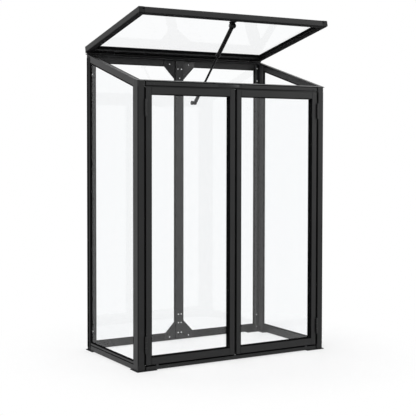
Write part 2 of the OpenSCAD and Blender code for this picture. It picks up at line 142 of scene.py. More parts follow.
class NodeTable:
    """The node tree of one material or world, with short calls to fill it."""

    def __init__(self, owner: Any) -> None:
        """Clears the owner's node tree.

        Args:
            owner: A material or a world.
        """
        owner.use_nodes = True
        self.tree = owner.node_tree
        self.tree.nodes.clear()

    def add(self, kind: str, values: dict[Any, Any] | None = None, **settings: Any) -> Any:
        """Adds one node.

        Args:
            kind: The node's type name.
            values: Values for its inputs, by name or number.
            settings: Values for the node's own properties.

        Returns:
            The new node.
        """
        node = self.tree.nodes.new(kind)
        for key, value in settings.items():
            setattr(node, key, value)
        for key, value in (values or {}).items():
            node.inputs[key].default_value = value
        return node

    def join(self, source: Any, target: Any) -> None:
        """Links an output socket to an input socket."""
        self.tree.links.new(source, target)

    def noise(self, place: Any, scale: float, detail: float = 2.0) -> Any:
        """Adds a noise pattern.

        Args:
            place: The socket that gives its coordinates.
            scale: Features for each metre.
            detail: Octaves of the noise.

        Returns:
            The socket of its value.
        """
        node = self.add("ShaderNodeTexNoise", {"Scale": scale, "Detail": detail})
        self.join(place, node.inputs["Vector"])
        return node.outputs["Fac"]

    def span(self, value: Any, low: float, high: float) -> Any:
        """Maps the middle of a noise to a range.

        Args:
            value: The socket of the noise.
            low: What its darker patches give.
            high: What its lighter patches give.

        Returns:
            The socket of the mapped value.
        """
        node = self.add(
            "ShaderNodeMapRange",
            {"From Min": 0.3, "From Max": 0.7, "To Min": low, "To Max": high},
        )
        self.join(value, node.inputs["Value"])
        return node.outputs["Result"]

    def tint(self, factor: Any, first: Colour, second: Colour) -> Any:
        """Mixes two colours.

        Args:
            factor: The socket that chooses between them.
            first: The colour at 0.
            second: The colour at 1.

        Returns:
            The socket of the mixed colour.
        """
        node = self.add("ShaderNodeMix", {6: (*first, 1.0), 7: (*second, 1.0)}, data_type="RGBA")
        self.join(factor, node.inputs[0])
        return node.outputs[2]

    def bump(self, height: Any, depth: float, strength: float, normal: Any = None) -> Any:
        """Adds relief to a surface.

        Args:
            height: The socket of the relief's height.
            depth: The relief's depth in metres.
            strength: How much of it shows.
            normal: The socket of the normal it adds to.

        Returns:
            The socket of the new normal.
        """
        node = self.add("ShaderNodeBump", {"Strength": strength, "Distance": depth})
        self.join(height, node.inputs["Height"])
        if normal is not None:
            self.join(normal, node.inputs["Normal"])
        return node.outputs["Normal"]

    def compute(self, operation: str, first: Any, second: Any, clamp: bool = False) -> Any:
        """Works out one value from two.

        Args:
            operation: The operation's name.
            first: The socket of the first value.
            second: The socket of the second value.
            clamp: Whether the result stays between 0 and 1.

        Returns:
            The socket of the result.
        """
        node = self.add("ShaderNodeMath", operation=operation, use_clamp=clamp)
        self.join(first, node.inputs[0])
        self.join(second, node.inputs[1])
        return node.outputs[0]

    def blend(self, factor: Any, first: Any, second: Any) -> Any:
        """Mixes two shaders.

        Args:
            factor: The socket that chooses between them.
            first: The shader at 0.
            second: The shader at 1.

        Returns:
            The socket of the mixed shader.
        """
        node = self.add("ShaderNodeMixShader")
        for index, source in enumerate((factor, first, second)):
            self.join(source, node.inputs[index])
        return node.outputs["Shader"]

    def colour(self, shader: Any, patches: Any, first: Colour, second: Colour) -> None:
        """Gives a shader two base colours in patches."""
        self.join(self.tint(self.span(patches, 0.0, 1.0), first, second), shader.inputs["Base Color"])

    def roughen(self, shader: Any, patches: Any, low: float, high: float) -> None:
        """Gives a shader a roughness that varies in patches."""
        self.join(self.span(patches, low, high), shader.inputs["Roughness"])

    def place(self) -> Any:
        """The socket of the object's own coordinates."""
        return self.add("ShaderNodeTexCoord").outputs["Object"]

    def finish(self, shader: Any) -> None:
        """Puts a shader on the material's output."""
        self.join(shader, self.add("ShaderNodeOutputMaterial").inputs["Surface"])


@dataclass(frozen=True)
class Finish:
    """A finish that is made once and shared by the pieces that have it."""

    name: str

    def material(self) -> bpy.types.Material:
        """Gives the finish's material, which is made on first use.

        Returns:
            The material.
        """
        known = bpy.data.materials.get(self.name)
        if known is not None:
            return known
        material = bpy.data.materials.new(self.name)
        self.fill(NodeTable(material))
        return material

    def fill(self, table: NodeTable) -> None:
        """Builds the finish's nodes; each kind of finish has its own."""
        raise NotImplementedError


@dataclass(frozen=True)
class PowderCoat(Finish):
    """Baked powder paint: a fine orange peel, soft edges and an edge colour along them, a paler thinner film on
    most coats and a painted dark reflection on the posts' coats.
    """

    colour: Colour
    edge_wear_and_shade_colour: Colour
    roughness: float = 0.38
    roughness_spread: float = 0.05
    shine: float = 0.30
    edge_radius: float = 0.8 * MM
    edge_turn: float = 0.7
    edge_share: float = 0.6
    cloud_scale: float = 11.0
    cloud_spread: float = 0.1
    peel_scale: float = 320.0
    peel_depth: float = 0.06 * MM
    peel_strength: float = 0.25
    grain_scale: float = 1500.0
    grain_depth: float = 0.03 * MM
    grain_strength: float = 0.35

    def fill(self, table: NodeTable) -> None:
        """Builds the paint's colour, gloss and relief.

        Args:
            table: The material's nodes.
        """
        place = table.place()
        cloud = table.noise(place, self.cloud_scale, detail=3.0)
        grain = table.noise(place, self.grain_scale)
        peel = table.noise(place, self.peel_scale, detail=1.0)
        rounded = table.add("ShaderNodeBevel", {"Radius": self.edge_radius}, samples=6)
        flat = table.add("ShaderNodeNewGeometry")
        same = table.add("ShaderNodeVectorMath", operation="DOT_PRODUCT")
        table.join(rounded.outputs["Normal"], same.inputs[0])
        table.join(flat.outputs["Normal"], same.inputs[1])
        # How far a point lies in the rounded band along an edge, where the edge colour is mixed in
        edge_wear_and_shade_mask = table.add(
            "ShaderNodeMapRange",
            {"From Min": 1.0, "From Max": self.edge_turn, "To Max": self.edge_share},
        )
        table.join(same.outputs["Value"], edge_wear_and_shade_mask.inputs["Value"])
        shade = table.tint(
            table.span(cloud, 0.0, 1.0),
            tuple((1.0 - self.cloud_spread) * c for c in self.colour),
            tuple((1.0 + self.cloud_spread) * c for c in self.colour),
        )
        # The edge colour is wear where it is paler than the paint, and painted dark reflection where it is darker
        coat = table.add("ShaderNodeMix", {7: (*self.edge_wear_and_shade_colour, 1.0)}, data_type="RGBA")
        table.join(edge_wear_and_shade_mask.outputs["Result"], coat.inputs[0])
        table.join(shade, coat.inputs[6])
        relief = table.bump(peel, self.peel_depth, self.peel_strength, rounded.outputs["Normal"])
        relief = table.bump(grain, self.grain_depth, self.grain_strength, relief)
        paint = table.add("ShaderNodeBsdfPrincipled", {"Specular IOR Level": self.shine})
        table.join(coat.outputs[2], paint.inputs["Base Color"])
        spread = self.roughness_spread
        table.roughen(paint, cloud, self.roughness - spread, self.roughness + spread)
        table.join(relief, paint.inputs["Normal"])
        table.finish(paint.outputs["BSDF"])


@dataclass(frozen=True)
class FloatGlass(Finish):
    """Clear float glass with a faint draw line, a trace of dust and a cool body tint."""

    tint: Colour
    dusty_tint: Colour
    index: float = 1.46
    dust_scale: float = 60.0
    dust_roughness: float = 0.02
    wave_scale: float = 7.0
    wave_depth: float = 0.1 * MM
    wave_strength: float = 0.05

    def fill(self, table: NodeTable) -> None:
        """Builds glass that lets lamps through.

        Args:
            table: The material's nodes.
        """
        place = table.place()
        dust = table.noise(place, self.dust_scale, detail=4.0)
        wave = table.noise(place, self.wave_scale, detail=1.0)
        glass = table.add(
            "ShaderNodeBsdfPrincipled", {"Transmission Weight": 1.0, "IOR": self.index}
        )
        table.colour(glass, dust, self.tint, self.dusty_tint)
        table.roughen(glass, dust, 0.0, self.dust_roughness)
        table.join(table.bump(wave, self.wave_depth, self.wave_strength), glass.inputs["Normal"])
        clear = table.add("ShaderNodeBsdfTransparent")
        path = table.add("ShaderNodeLightPath")
        shadow = path.outputs["Is Shadow Ray"]
        table.finish(table.blend(shadow, glass.outputs["BSDF"], clear.outputs["BSDF"]))


@dataclass(frozen=True)
class DrawnMetal(Finish):
    """Bare or blackened metal with fine streaks along one direction."""

    colour: Colour
    dull_colour: Colour
    roughness: float = 0.35
    smoother: float = 0.08
    rougher: float = 0.1
    metallic: float = 1.0
    streak: tuple[float, float, float] = (900.0, 900.0, 900.0)
    streak_depth: float = 0.01 * MM
    streak_strength: float = 0.3
    tarnish_scale: float = 180.0

    def fill(self, table: NodeTable) -> None:
        """Builds the metal's streaks and tarnish.

        Args:
            table: The material's nodes.
        """
        place = table.place()
        stretch = table.add("ShaderNodeMapping", {"Scale": self.streak})
        table.join(place, stretch.inputs["Vector"])
        lines = table.noise(stretch.outputs["Vector"], 1.0, detail=3.0)
        tarnish = table.noise(place, self.tarnish_scale, detail=3.0)
        metal = table.add("ShaderNodeBsdfPrincipled", {"Metallic": self.metallic})
        table.colour(metal, tarnish, self.colour, self.dull_colour)
        table.roughen(metal, lines, self.roughness - self.smoother, self.roughness + self.rougher)
        table.join(table.bump(lines, self.streak_depth, self.streak_strength), metal.inputs["Normal"])
        table.finish(metal.outputs["BSDF"])


@dataclass(frozen=True)
class Moulding(Finish):
    """Moulded rubber or plastic with a matt, faintly mottled skin."""

    colour: Colour
    pale_colour: Colour
    roughness: float = 0.75
    roughness_spread: float = 0.06
    shine: float = 0.2
    mottle_scale: float = 90.0
    grain_scale: float = 2200.0
    grain_depth: float = 0.03 * MM
    grain_strength: float = 0.4

    def fill(self, table: NodeTable) -> None:
        """Builds the moulding's mottle and grain.

        Args:
            table: The material's nodes.
        """
        place = table.place()
        mottle = table.noise(place, self.mottle_scale, detail=3.0)
        grain = table.noise(place, self.grain_scale)
        skin = table.add("ShaderNodeBsdfPrincipled", {"Specular IOR Level": self.shine})
        table.colour(skin, mottle, self.colour, self.pale_colour)
        spread = self.roughness_spread
        table.roughen(skin, mottle, self.roughness - spread, self.roughness + spread)
        table.join(table.bump(grain, self.grain_depth, self.grain_strength), skin.inputs["Normal"])
        table.finish(skin.outputs["BSDF"])


@dataclass(frozen=True)
class StudioFloor(Finish):
    """Pale floor that shows as the white background and still keeps the object's shadow."""

    colour: Colour = (0.74, 0.74, 0.74)
    pale: float = 1.02
    roughness: float = 0.9
    shine: float = 0.1
    mottle_scale: float = 3.0
    white_share: float = 0.6
    near: float = 0.42
    far: float = 0.85

    def fill(self, table: NodeTable) -> None:
        """Builds the lit floor and the white that the camera, gloss and glass see in it.

        Args:
            table: The material's nodes.
        """
        place = table.place()
        mottle = table.noise(place, self.mottle_scale, detail=3.0)
        away = table.add("ShaderNodeVectorMath", operation="LENGTH")
        table.join(place, away.inputs[0])
        fade = table.add(
            "ShaderNodeMapRange",
            {"From Min": self.near, "From Max": self.far, "To Min": self.white_share, "To Max": 1.0},
            interpolation_type="SMOOTHSTEP",
        )
        table.join(away.outputs["Value"], fade.inputs["Value"])
        lit = table.add(
            "ShaderNodeBsdfPrincipled", {"Roughness": self.roughness, "Specular IOR Level": self.shine}
        )
        tone = table.tint(mottle, self.colour, tuple(self.pale * c for c in self.colour))
        table.join(tone, lit.inputs["Base Color"])
        white = table.add("ShaderNodeEmission")
        share = table.compute("MULTIPLY", seen_rays(table), fade.outputs["Result"])
        table.finish(table.blend(share, lit.outputs["BSDF"], white.outputs["Emission"]))


def seen_rays(table: NodeTable) -> Any:
    """Gives 1 for the rays that show the background: camera, gloss and glass.

    Rays that light a surface first and pass a pane afterwards stay at 0.

    Args:
        table: The node tree to build it in.

    Returns:
        The socket of that value.
    """
    path = table.add("ShaderNodeLightPath")
    total = path.outputs["Is Camera Ray"]
    for kind in ("Is Glossy Ray", "Is Transmission Ray"):
        total = table.compute("MAXIMUM", total, path.outputs[kind])
    return table.compute("SUBTRACT", total, path.outputs["Diffuse Depth"], clamp=True)


FRAME_COAT = PowderCoat("frame_powder_coat", (0.0070, 0.0072, 0.0074), (0.020, 0.020, 0.021))
# The front posts' paint, a little darker, with a wide dark band along the rounded edges: painted dark reflection
# on the corners
POST_COAT_PAINTED_DARK_CORNERS = PowderCoat(
    "post_powder_coat", (0.0066, 0.0068, 0.0070), (0.0035, 0.0035, 0.0037),
    shine=0.27, edge_radius=3.4 * MM,
)
# The left rear post's paint made darker and duller, painted shade, with painted dark reflection along its edges
PAINTED_SHADE_POST_COAT = PowderCoat(
    "painted_shade_post_coat", (0.0045, 0.0046, 0.0048), (0.0028, 0.0028, 0.003),
    shine=0.07, edge_radius=2.0 * MM,
)
# The right rear post's paint made paler and glossier, painted light
PAINTED_LIGHT_POST_COAT = PowderCoat(
    "painted_light_post_coat", (0.0220, 0.0223, 0.0228), (0.035, 0.035, 0.036), shine=0.60
)
# The lid's left bar: the frame paint made darker and duller, painted shade
PAINTED_SHADE_LID_SIDE_COAT = PowderCoat(
    "painted_shade_lid_side_coat", (0.0060, 0.0062, 0.0064), (0.012, 0.012, 0.0125), shine=0.19
)
# The right roof rail: the frame paint made paler and glossier, a painted highlight
PAINTED_LIGHT_RIGHT_RAIL_COAT = PowderCoat(
    "painted_light_right_rail_coat", (0.0080, 0.0082, 0.0085), (0.024, 0.024, 0.025), shine=0.36
)
# The rear top rail: the frame paint made paler, painted light
PAINTED_LIGHT_TOP_RAIL_COAT = PowderCoat(
    "painted_light_top_rail_coat", (0.0113, 0.0115, 0.0118), (0.020, 0.020, 0.021), shine=0.22
)
# The frame paint made darker and duller, painted shade for bars and strips that sit in shadow
SHADED_COAT = PowderCoat(
    "shaded_powder_coat", (0.0055, 0.0056, 0.0058), (0.014, 0.014, 0.0145), shine=0.17
)
HINGE_COAT = PowderCoat("hinge_coat", (0.0065, 0.0067, 0.0070), (0.022, 0.022, 0.023), roughness=0.34)
GUSSET_COAT = PowderCoat(
    "gusset_coat", (0.0080, 0.0082, 0.0085), (0.020, 0.020, 0.021), roughness=0.36, shine=0.24
)
STAY_PAINT = PowderCoat(
    "stay_paint", (0.0024, 0.0024, 0.0026), (0.006, 0.006, 0.0063),
    roughness=0.34, shine=0.14, edge_radius=0.4 * MM,
)
PAINTED_RIVET = PowderCoat(
    "painted_rivet", (0.008, 0.008, 0.0085), (0.024, 0.024, 0.025), edge_radius=0.3 * MM
)
ROD_STEEL = DrawnMetal(
    "blackened_rod", (0.016, 0.016, 0.017), (0.010, 0.010, 0.011),
    roughness=0.34, streak=(1500.0, 40.0, 40.0),
)
BRIGHT_RIVET = DrawnMetal("bright_rivet", (0.95, 0.95, 0.96), (0.84, 0.84, 0.85), roughness=0.34)
DULL_RIVET = DrawnMetal("dull_rivet", (0.66, 0.66, 0.67), (0.56, 0.56, 0.57), roughness=0.34)
DARK_SCREW = DrawnMetal("dark_screw", (0.05, 0.05, 0.052), (0.03, 0.03, 0.031), roughness=0.4)
DOOR_GLASS = FloatGlass("door_glass", (0.978, 0.984, 0.988), (0.966, 0.974, 0.979), index=1.40)
SIDE_GLASS = FloatGlass("side_glass", (0.978, 0.984, 0.988), (0.966, 0.974, 0.979), index=1.16)
LID_GLASS = FloatGlass("lid_glass", (0.972, 0.979, 0.984), (0.960, 0.969, 0.975), index=1.06)
FOOT_MOULDING = Moulding("foot_moulding", (0.015, 0.015, 0.016), (0.022, 0.022, 0.023))
RUBBER = Moulding(
    "glazing_rubber", (0.0022, 0.0022, 0.0024), (0.0036, 0.0036, 0.0038), roughness=0.82, shine=0.02
)
# Foam pads whose grey stands for the shade under the lid's bars: real pads and painted shade
PAD_FOAM_AND_SHADE = Moulding(
    "pad_foam_and_painted_shade", (0.011, 0.011, 0.0115), (0.016, 0.016, 0.0165), roughness=0.9, shine=0.05
)
NYLON = Moulding("glide_nylon", (0.030, 0.030, 0.031), (0.040, 0.040, 0.041), roughness=0.55)
PIVOT_BUTTON = Moulding("pivot_button", (0.20, 0.20, 0.205), (0.26, 0.26, 0.265), roughness=0.5)

SLOT_FINISHES: dict[Slot, Finish] = {
    Slot.FRAME_METAL: FRAME_COAT,
    Slot.HINGE_METAL: HINGE_COAT,
    Slot.GUSSET_METAL: GUSSET_COAT,
    Slot.STAY_METAL: STAY_PAINT,
    Slot.STAY_ROD_METAL: ROD_STEEL,
    Slot.FOOT_PLASTIC: FOOT_MOULDING,
    Slot.GLASS: DOOR_GLASS,
}
# Panes with their own glass, and bars that get a lighter or darker copy of the frame paint: painted light and
# shade
NODE_FINISHES_WITH_PAINTED_LIGHT: dict[str, Finish] = {
    "left_pane": SIDE_GLASS,
    "right_pane": SIDE_GLASS,
    "lid_pane": LID_GLASS,
    "right_roof_rail": PAINTED_LIGHT_RIGHT_RAIL_COAT,
    "rear_top_rail": PAINTED_LIGHT_TOP_RAIL_COAT,
    "rear_bottom_rail": SHADED_COAT,
    "rear_left_post": PAINTED_SHADE_POST_COAT,
    "rear_right_post": PAINTED_LIGHT_POST_COAT,
    "lid_rear_bar": SHADED_COAT,
    "lid_left_bar": PAINTED_SHADE_LID_SIDE_COAT,
    "lid_right_bar": SHADED_COAT,
    "front_left_post": POST_COAT_PAINTED_DARK_CORNERS,
    "front_right_post": POST_COAT_PAINTED_DARK_CORNERS,
}


@dataclass(frozen=True)
class Pane:
    """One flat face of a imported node: its corners in order and its outward normal."""

    corners: tuple[Vector, ...]
    normal: Vector

    @classmethod
    def broadest(cls, node: str, looks: Vector) -> "Pane":
        """Reads the broadest face of a node among those that look in a direction.

        Args:
            node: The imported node.
            looks: The direction that the face looks in, roughly.

        Returns:
            That face.
        """
        mesh = frame["nodes"][node].data
        facing = [face for face in mesh.polygons if face.normal.dot(looks) > FACING * looks.length]
        normal = max(facing, key=lambda face: face.area).normal.copy()
        corners: dict[tuple[float, ...], Vector] = {}
        for face in facing:
            if face.normal.dot(normal) > COPLANAR:
                for index in face.vertices:
                    point = mesh.vertices[index].co
                    corners[tuple(round(c, CORNER_DIGITS) for c in point)] = point.copy()
        points = list(corners.values())
        centre = sum(points, Vector()) / len(points)
        along = (points[0] - centre).normalized()
        across = normal.cross(along)
        points.sort(key=lambda p: math.atan2((p - centre).dot(across), (p - centre).dot(along)))
        return cls(tuple(points), normal)

    @property
    def uphill(self) -> Vector:
        """The direction in the face that runs to the rear."""
        return (REARWARD - self.normal * REARWARD.dot(self.normal)).normalized()

    @property
    def run(self) -> float:
        """The face's length from front to rear."""
        steps = [corner.dot(self.uphill) for corner in self.corners]
        return max(steps) - min(steps)

    def seat(self, past: float = 0.0, below: float = 0.0) -> Matrix:
        """A frame with X across, Y running to the rear from the face's rear edge, and Z square to it.

        Args:
            past: How far its origin lies past the rear edge.
            below: How far its origin lies under the face.

        Returns:
            The frame's matrix.
        """
        rear = max(corner.dot(self.uphill) for corner in self.corners) + past
        level = self.corners[0].dot(self.normal) - below
        origin = self.uphill * rear + self.normal * level
        columns = Matrix((RIGHTWARD, self.uphill, self.normal)).transposed().to_4x4()
        return Matrix.Translation(origin) @ columns


@dataclass(frozen=True)
class LidFrame:
    """The lid's bars round its pane, and the frame at the lid's rear lower edge."""

    half_width: float = 388.0 * MM
    bar: float = 22.0 * MM
    pane_to_edge: float = 14.2 * MM
    pane_to_underside: float = 14.0 * MM

    @property
    def inner(self) -> float:
        """The distance from the middle to the inner sides of the side bars."""
        return self.half_width - self.bar

    @property
    def length(self) -> float:
        """The lid's length from front to rear."""
        return Pane.broadest("lid_pane", UPWARD).run + 2 * self.pane_to_edge

    @property
    def seat(self) -> Matrix:
        """The frame's matrix: X across, Y to the rear and Z square to the lid."""
        return Pane.broadest("lid_pane", UPWARD).seat(self.pane_to_edge, self.pane_to_underside)


class Workpiece:
    """A mesh on the bench, from its first vertices to the finished piece."""

    def __init__(self) -> None:
        """Starts with an empty mesh."""
        self.mesh = bmesh.new()

    def turn(self, outline: Outline, base: Vector, axis: Vector, steps: int = 16) -> "Workpiece":
        """Adds a turned solid.

        Args:
            outline: Pairs of radius and height, from one end of the axis to the other.
            base: The point on the axis at height zero.
            axis: The direction of the axis.
            steps: Sides of the full turn.

        Returns:
            The workpiece.
        """
        axis = axis.normalized()
        side = axis.orthogonal().normalized()
        points = [self.mesh.verts.new(base + side * radius + axis * height) for radius, height in outline]
        edges = [self.mesh.edges.new(pair) for pair in zip(points, points[1:])]
        bmesh.ops.spin(
            self.mesh, geom=points + edges, cent=base, axis=axis, dvec=Vector(),
            angle=math.tau, steps=steps, use_merge=True, use_duplicate=False,
        )
        return self

    def block(self, x: Span, y: Span, z: Span, edge: float, seat: Matrix | None = None) -> "Workpiece":
        """Adds a block with rounded edges.

        Args:
            x: Its two ends across the object, in either order.
            y: Its two ends from front to rear.
            z: Its two ends in height.
            edge: The radius of its edges.
            seat: The frame that the ends are given in.

        Returns:
            The workpiece.
        """
        low, high = (Vector([end(span) for span in (x, y, z)]) for end in (min, max))
        corners = bmesh.ops.create_cube(self.mesh, size=1.0)["verts"]
        bmesh.ops.scale(self.mesh, vec=high - low, verts=corners)
        bmesh.ops.translate(self.mesh, vec=(low + high) / 2, verts=corners)
        if seat is not None:
            bmesh.ops.transform(self.mesh, matrix=seat, verts=corners)
        self._round(list({e for v in corners for e in v.link_edges}), edge)
        return self

    def ring(self, pane: Pane, inset: float, width: float, height: float, edge: float) -> "Workpiece":
        """Adds a strip that follows the outline of a flat face.

        Args:
            pane: The face it lies on.
            inset: Distance of the strip from the face's outline.
            width: Width of the strip.
            height: How far it stands off the face.
            edge: The radius of its edges.

        Returns:
            The workpiece.
        """
        face = self.mesh.faces.new([self.mesh.verts.new(corner) for corner in pane.corners])
        face.normal_update()
        inward = {"faces": [face], "use_boundary": True, "use_even_offset": True}
        rim = bmesh.ops.inset_region(self.mesh, thickness=inset, **inward)["faces"]
        bmesh.ops.delete(self.mesh, geom=rim, context="FACES")
        strip = bmesh.ops.inset_region(self.mesh, thickness=width, **inward)["faces"]
        bmesh.ops.delete(self.mesh, geom=[face], context="FACES")
        _, lifted = self._push(strip, pane.normal * height)
        top = {e for f in lifted for e in f.edges if len(e.link_faces) == 2}
        self._round([e for e in top if e.calc_face_angle(0.0) > RIM_ANGLE], edge)
        return self

    def plate(self, outline: Outline, front: float, thickness: float, edge: float) -> "Workpiece":
        """Adds a flat plate that stands upright across the object.

        Args:
            outline: The plate's corners in order, as pairs of X and Z.
            front: The Y of its front face.
            thickness: Its thickness.
            edge: The radius of its edges.

        Returns:
            The workpiece.
        """
        face = self.mesh.faces.new([self.mesh.verts.new((x, front, z)) for x, z in outline])
        pushed, _ = self._push([face], REARWARD * thickness)
        self._round(list({e for v in [*face.verts, *pushed] for e in v.link_edges}), edge)
        return self

    def cut(self, place: Vector, side: Vector) -> "Workpiece":
        """Cuts the workpiece off along a plane and closes it there.

        Args:
            place: A point of the plane.
            side: The direction of the part that falls away.

        Returns:
            The workpiece.
        """
        bmesh.ops.remove_doubles(self.mesh, verts=self.mesh.verts[:], dist=WELD)
        whole = self.mesh.verts[:] + self.mesh.edges[:] + self.mesh.faces[:]
        bmesh.ops.bisect_plane(self.mesh, geom=whole, plane_co=place, plane_no=side, clear_outer=True)
        rim = [edge for edge in self.mesh.edges if edge.is_boundary]
        bmesh.ops.holes_fill(self.mesh, edges=rim, sides=0)
        return self

    def _push(self, faces: list[bmesh.types.BMFace], shift: Vector) -> tuple[list[Any], list[Any]]:
        """Extrudes faces.

        Args:
            faces: The faces.
            shift: How far and where they are pushed.

        Returns:
            The new vertices and the new faces at the far end.
        """
        made = bmesh.ops.extrude_face_region(self.mesh, geom=faces)["geom"]
        points = [item for item in made if isinstance(item, bmesh.types.BMVert)]
        bmesh.ops.translate(self.mesh, vec=shift, verts=points)
        return points, [item for item in made if isinstance(item, bmesh.types.BMFace)]

    def _round(self, edges: list[bmesh.types.BMEdge], radius: float) -> None:
        """Rounds edges with a small radius."""
        bmesh.ops.bevel(
            self.mesh, geom=edges, offset=radius, offset_type="OFFSET", affect="EDGES",
            segments=2, profile=0.5, material=-1, clamp_overlap=True,
        )

    def piece(self, name: str, finish: Finish, body: Body, slot: Slot | None = None) -> bpy.types.Object:
        """Finishes the mesh as a piece of the object.

        Args:
            name: The piece's name.
            finish: The finish it has.
            body: The body it rides on.
            slot: The record's slot that it shares, if any; not used.

        Returns:
            The new object.
        """
        bmesh.ops.remove_doubles(self.mesh, verts=self.mesh.verts[:], dist=WELD)
        bmesh.ops.recalc_face_normals(self.mesh, faces=self.mesh.faces[:])
        data = bpy.data.meshes.new(name)
        self.mesh.to_mesh(data)
        self.mesh.free()
        data.materials.append(finish.material())
        data.shade_smooth()
        data.set_sharp_from_angle(angle=SMOOTH_ANGLE)
        thing = bpy.data.objects.new(name, data)
        bpy.context.scene.collection.objects.link(thing)
        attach(thing, body.value)
        LOG.info("%s: %d faces on %s", name, len(data.polygons), body.value)
        return thing


@dataclass
class PackedNodes:
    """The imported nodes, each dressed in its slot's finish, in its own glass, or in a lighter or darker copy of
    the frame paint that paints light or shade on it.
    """

    def build(self) -> None:
        """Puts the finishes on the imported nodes."""
        for part in frame["record"]["subparts"]:
            finish = NODE_FINISHES_WITH_PAINTED_LIGHT.get(part["node"], SLOT_FINISHES[Slot(part["material_slot"])])
            data = frame["nodes"][part["node"]].data
            data.materials.clear()
            data.materials.append(finish.material())


@dataclass
class Glazing:
    """The rubber beads that close each pane against its bars, inside and outside.

    The heights are those of the beads on the outer and the inner face. The doors' beads stand tall enough to cover
    the inner returns of their bars, so they are beads and painted shade on those returns at once.
    """

    groove_reach: float = 7.8 * MM
    wall_width: float = 5.0 * MM
    rear_width: float = 2.0 * MM
    wall_heights: Span = (1.8 * MM, 1.8 * MM)
    sash_width: float = 2.2 * MM
    # Tall door beads: real beads that also paint the shade on the bars' inner returns
    door_bead_and_shade_heights: Span = (11.2 * MM, 8.0 * MM)
    lid_heights: Span = (4.0 * MM, 4.0 * MM)
    edge: float = 0.5 * MM

    def build(self) -> None:
        """Makes one bead piece for each pane."""
        for side in Side:
            self._beads(f"{side.word}_pane", RIGHTWARD, self.wall_width, self.wall_heights, Body.FRAME)
            self._beads(f"rear_{side.word}_pane", REARWARD, self.rear_width, self.wall_heights, Body.FRAME)
            self._beads(f"{side.word}_door_pane", FRONTWARD, self.sash_width, self.door_bead_and_shade_heights, side.door)
        self._beads("lid_pane", UPWARD, self.sash_width, self.lid_heights, Body.LID)

    def _beads(self, node: str, outward: Vector, width: float, heights: Span, body: Body) -> None:
        """Makes the beads of one pane.

        Args:
            node: The pane's node.
            outward: The direction that its outer face looks in.
            width: Width of the beads.
            heights: Heights of the beads on the outer and the inner face.
            body: The body that the pane belongs to.
        """
        work = Workpiece()
        for looks, height in zip((outward, -outward), heights):
            work.ring(Pane.broadest(node, looks), self.groove_reach, width, height, self.edge)
        work.piece(f"{node}_bead", RUBBER, body)


@dataclass
class Riveting:
    """The blind rivets of the gussets, of the upright beside them and of the rear posts."""

    head: Outline = in_mm(
        (0.0, 0.7), (0.7, 0.7), (0.85, 1.0), (1.5, 0.95), (2.1, 0.55), (2.4, 0.0), (0.0, 0.0)
    )
    wing_x: float = 42.0 * MM
    upper_wing_z: float = 7.5 * MM
    upper_bar: Outline = in_mm((-8.0, -10.5), (8.0, -10.5), (0.0, -45.0))
    lower_wing_z: float = -14.0 * MM
    lower_bar: Outline = in_mm(
        (-7.0, 1.0), (7.0, 1.0), (-6.0, 39.0), (6.0, 39.0), (-6.5, 72.0), (6.5, 72.0)
    )
    post_in: float = 13.0 * MM
    post_steps: Span = (16.0 * MM, 65.0 * MM)
    post_top_room: float = 8.0 * MM

    def build(self) -> None:
        """Makes the rivets of both gussets and of both rear posts."""
        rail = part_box("rear_top_rail")[0].z
        self._gusset("upper_gusset", rail, self.upper_wing_z, self.upper_bar, DULL_RIVET)
        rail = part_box("rear_bottom_rail")[1].z
        self._gusset("lower_gusset", rail, self.lower_wing_z, self.lower_bar, BRIGHT_RIVET)
        for side in Side:
            self._post(side)

    def _gusset(self, node: str, rail: float, wing_z: float, bar: Outline, finish: Finish) -> None:
        """Makes the rivets of one gusset, and their painted shop heads on the rear.

        Args:
            node: The gusset's node.
            rail: Height of the rail's inner edge.
            wing_z: Height of the wing rivets from that edge.
            bar: Places of the rivets on the upright, across it and from that edge.
            finish: The finish of their heads.
        """
        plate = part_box(node)[0].y
        face, rear = (corner.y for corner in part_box("rear_mullion"))
        spots = [(x, plate, wing_z) for x in (-self.wing_x, self.wing_x)]
        spots += [(x, face, z) for x, z in bar]
        heads, tails = Workpiece(), Workpiece()
        for x, front, z in spots:
            heads.turn(self.head, Vector((x, front, rail + z)), FRONTWARD)
            tails.turn(self.head, Vector((x, rear, rail + z)), REARWARD)
        heads.piece(f"{node}_rivets", finish, Body.FRAME)
        tails.piece(f"{node}_rivet_tails", PAINTED_RIVET, Body.FRAME)

    def _post(self, side: Side) -> None:
        """Makes the rivets at both ends of one rear post.

        Args:
            side: The post's side.
        """
        node = f"rear_{side.word}_post"
        low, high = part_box(node)
        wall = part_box("rear_bottom_rail")[0].y
        x = side.value * (reach(node)[0] + self.post_in)
        work = Workpiece()
        for step in self.post_steps:
            for z in (low.z + step, high.z - step - self.post_top_room):
                work.turn(self.head, Vector((x, wall, z)), FRONTWARD)
        work.piece(f"{node}_rivets", BRIGHT_RIVET, Body.FRAME)


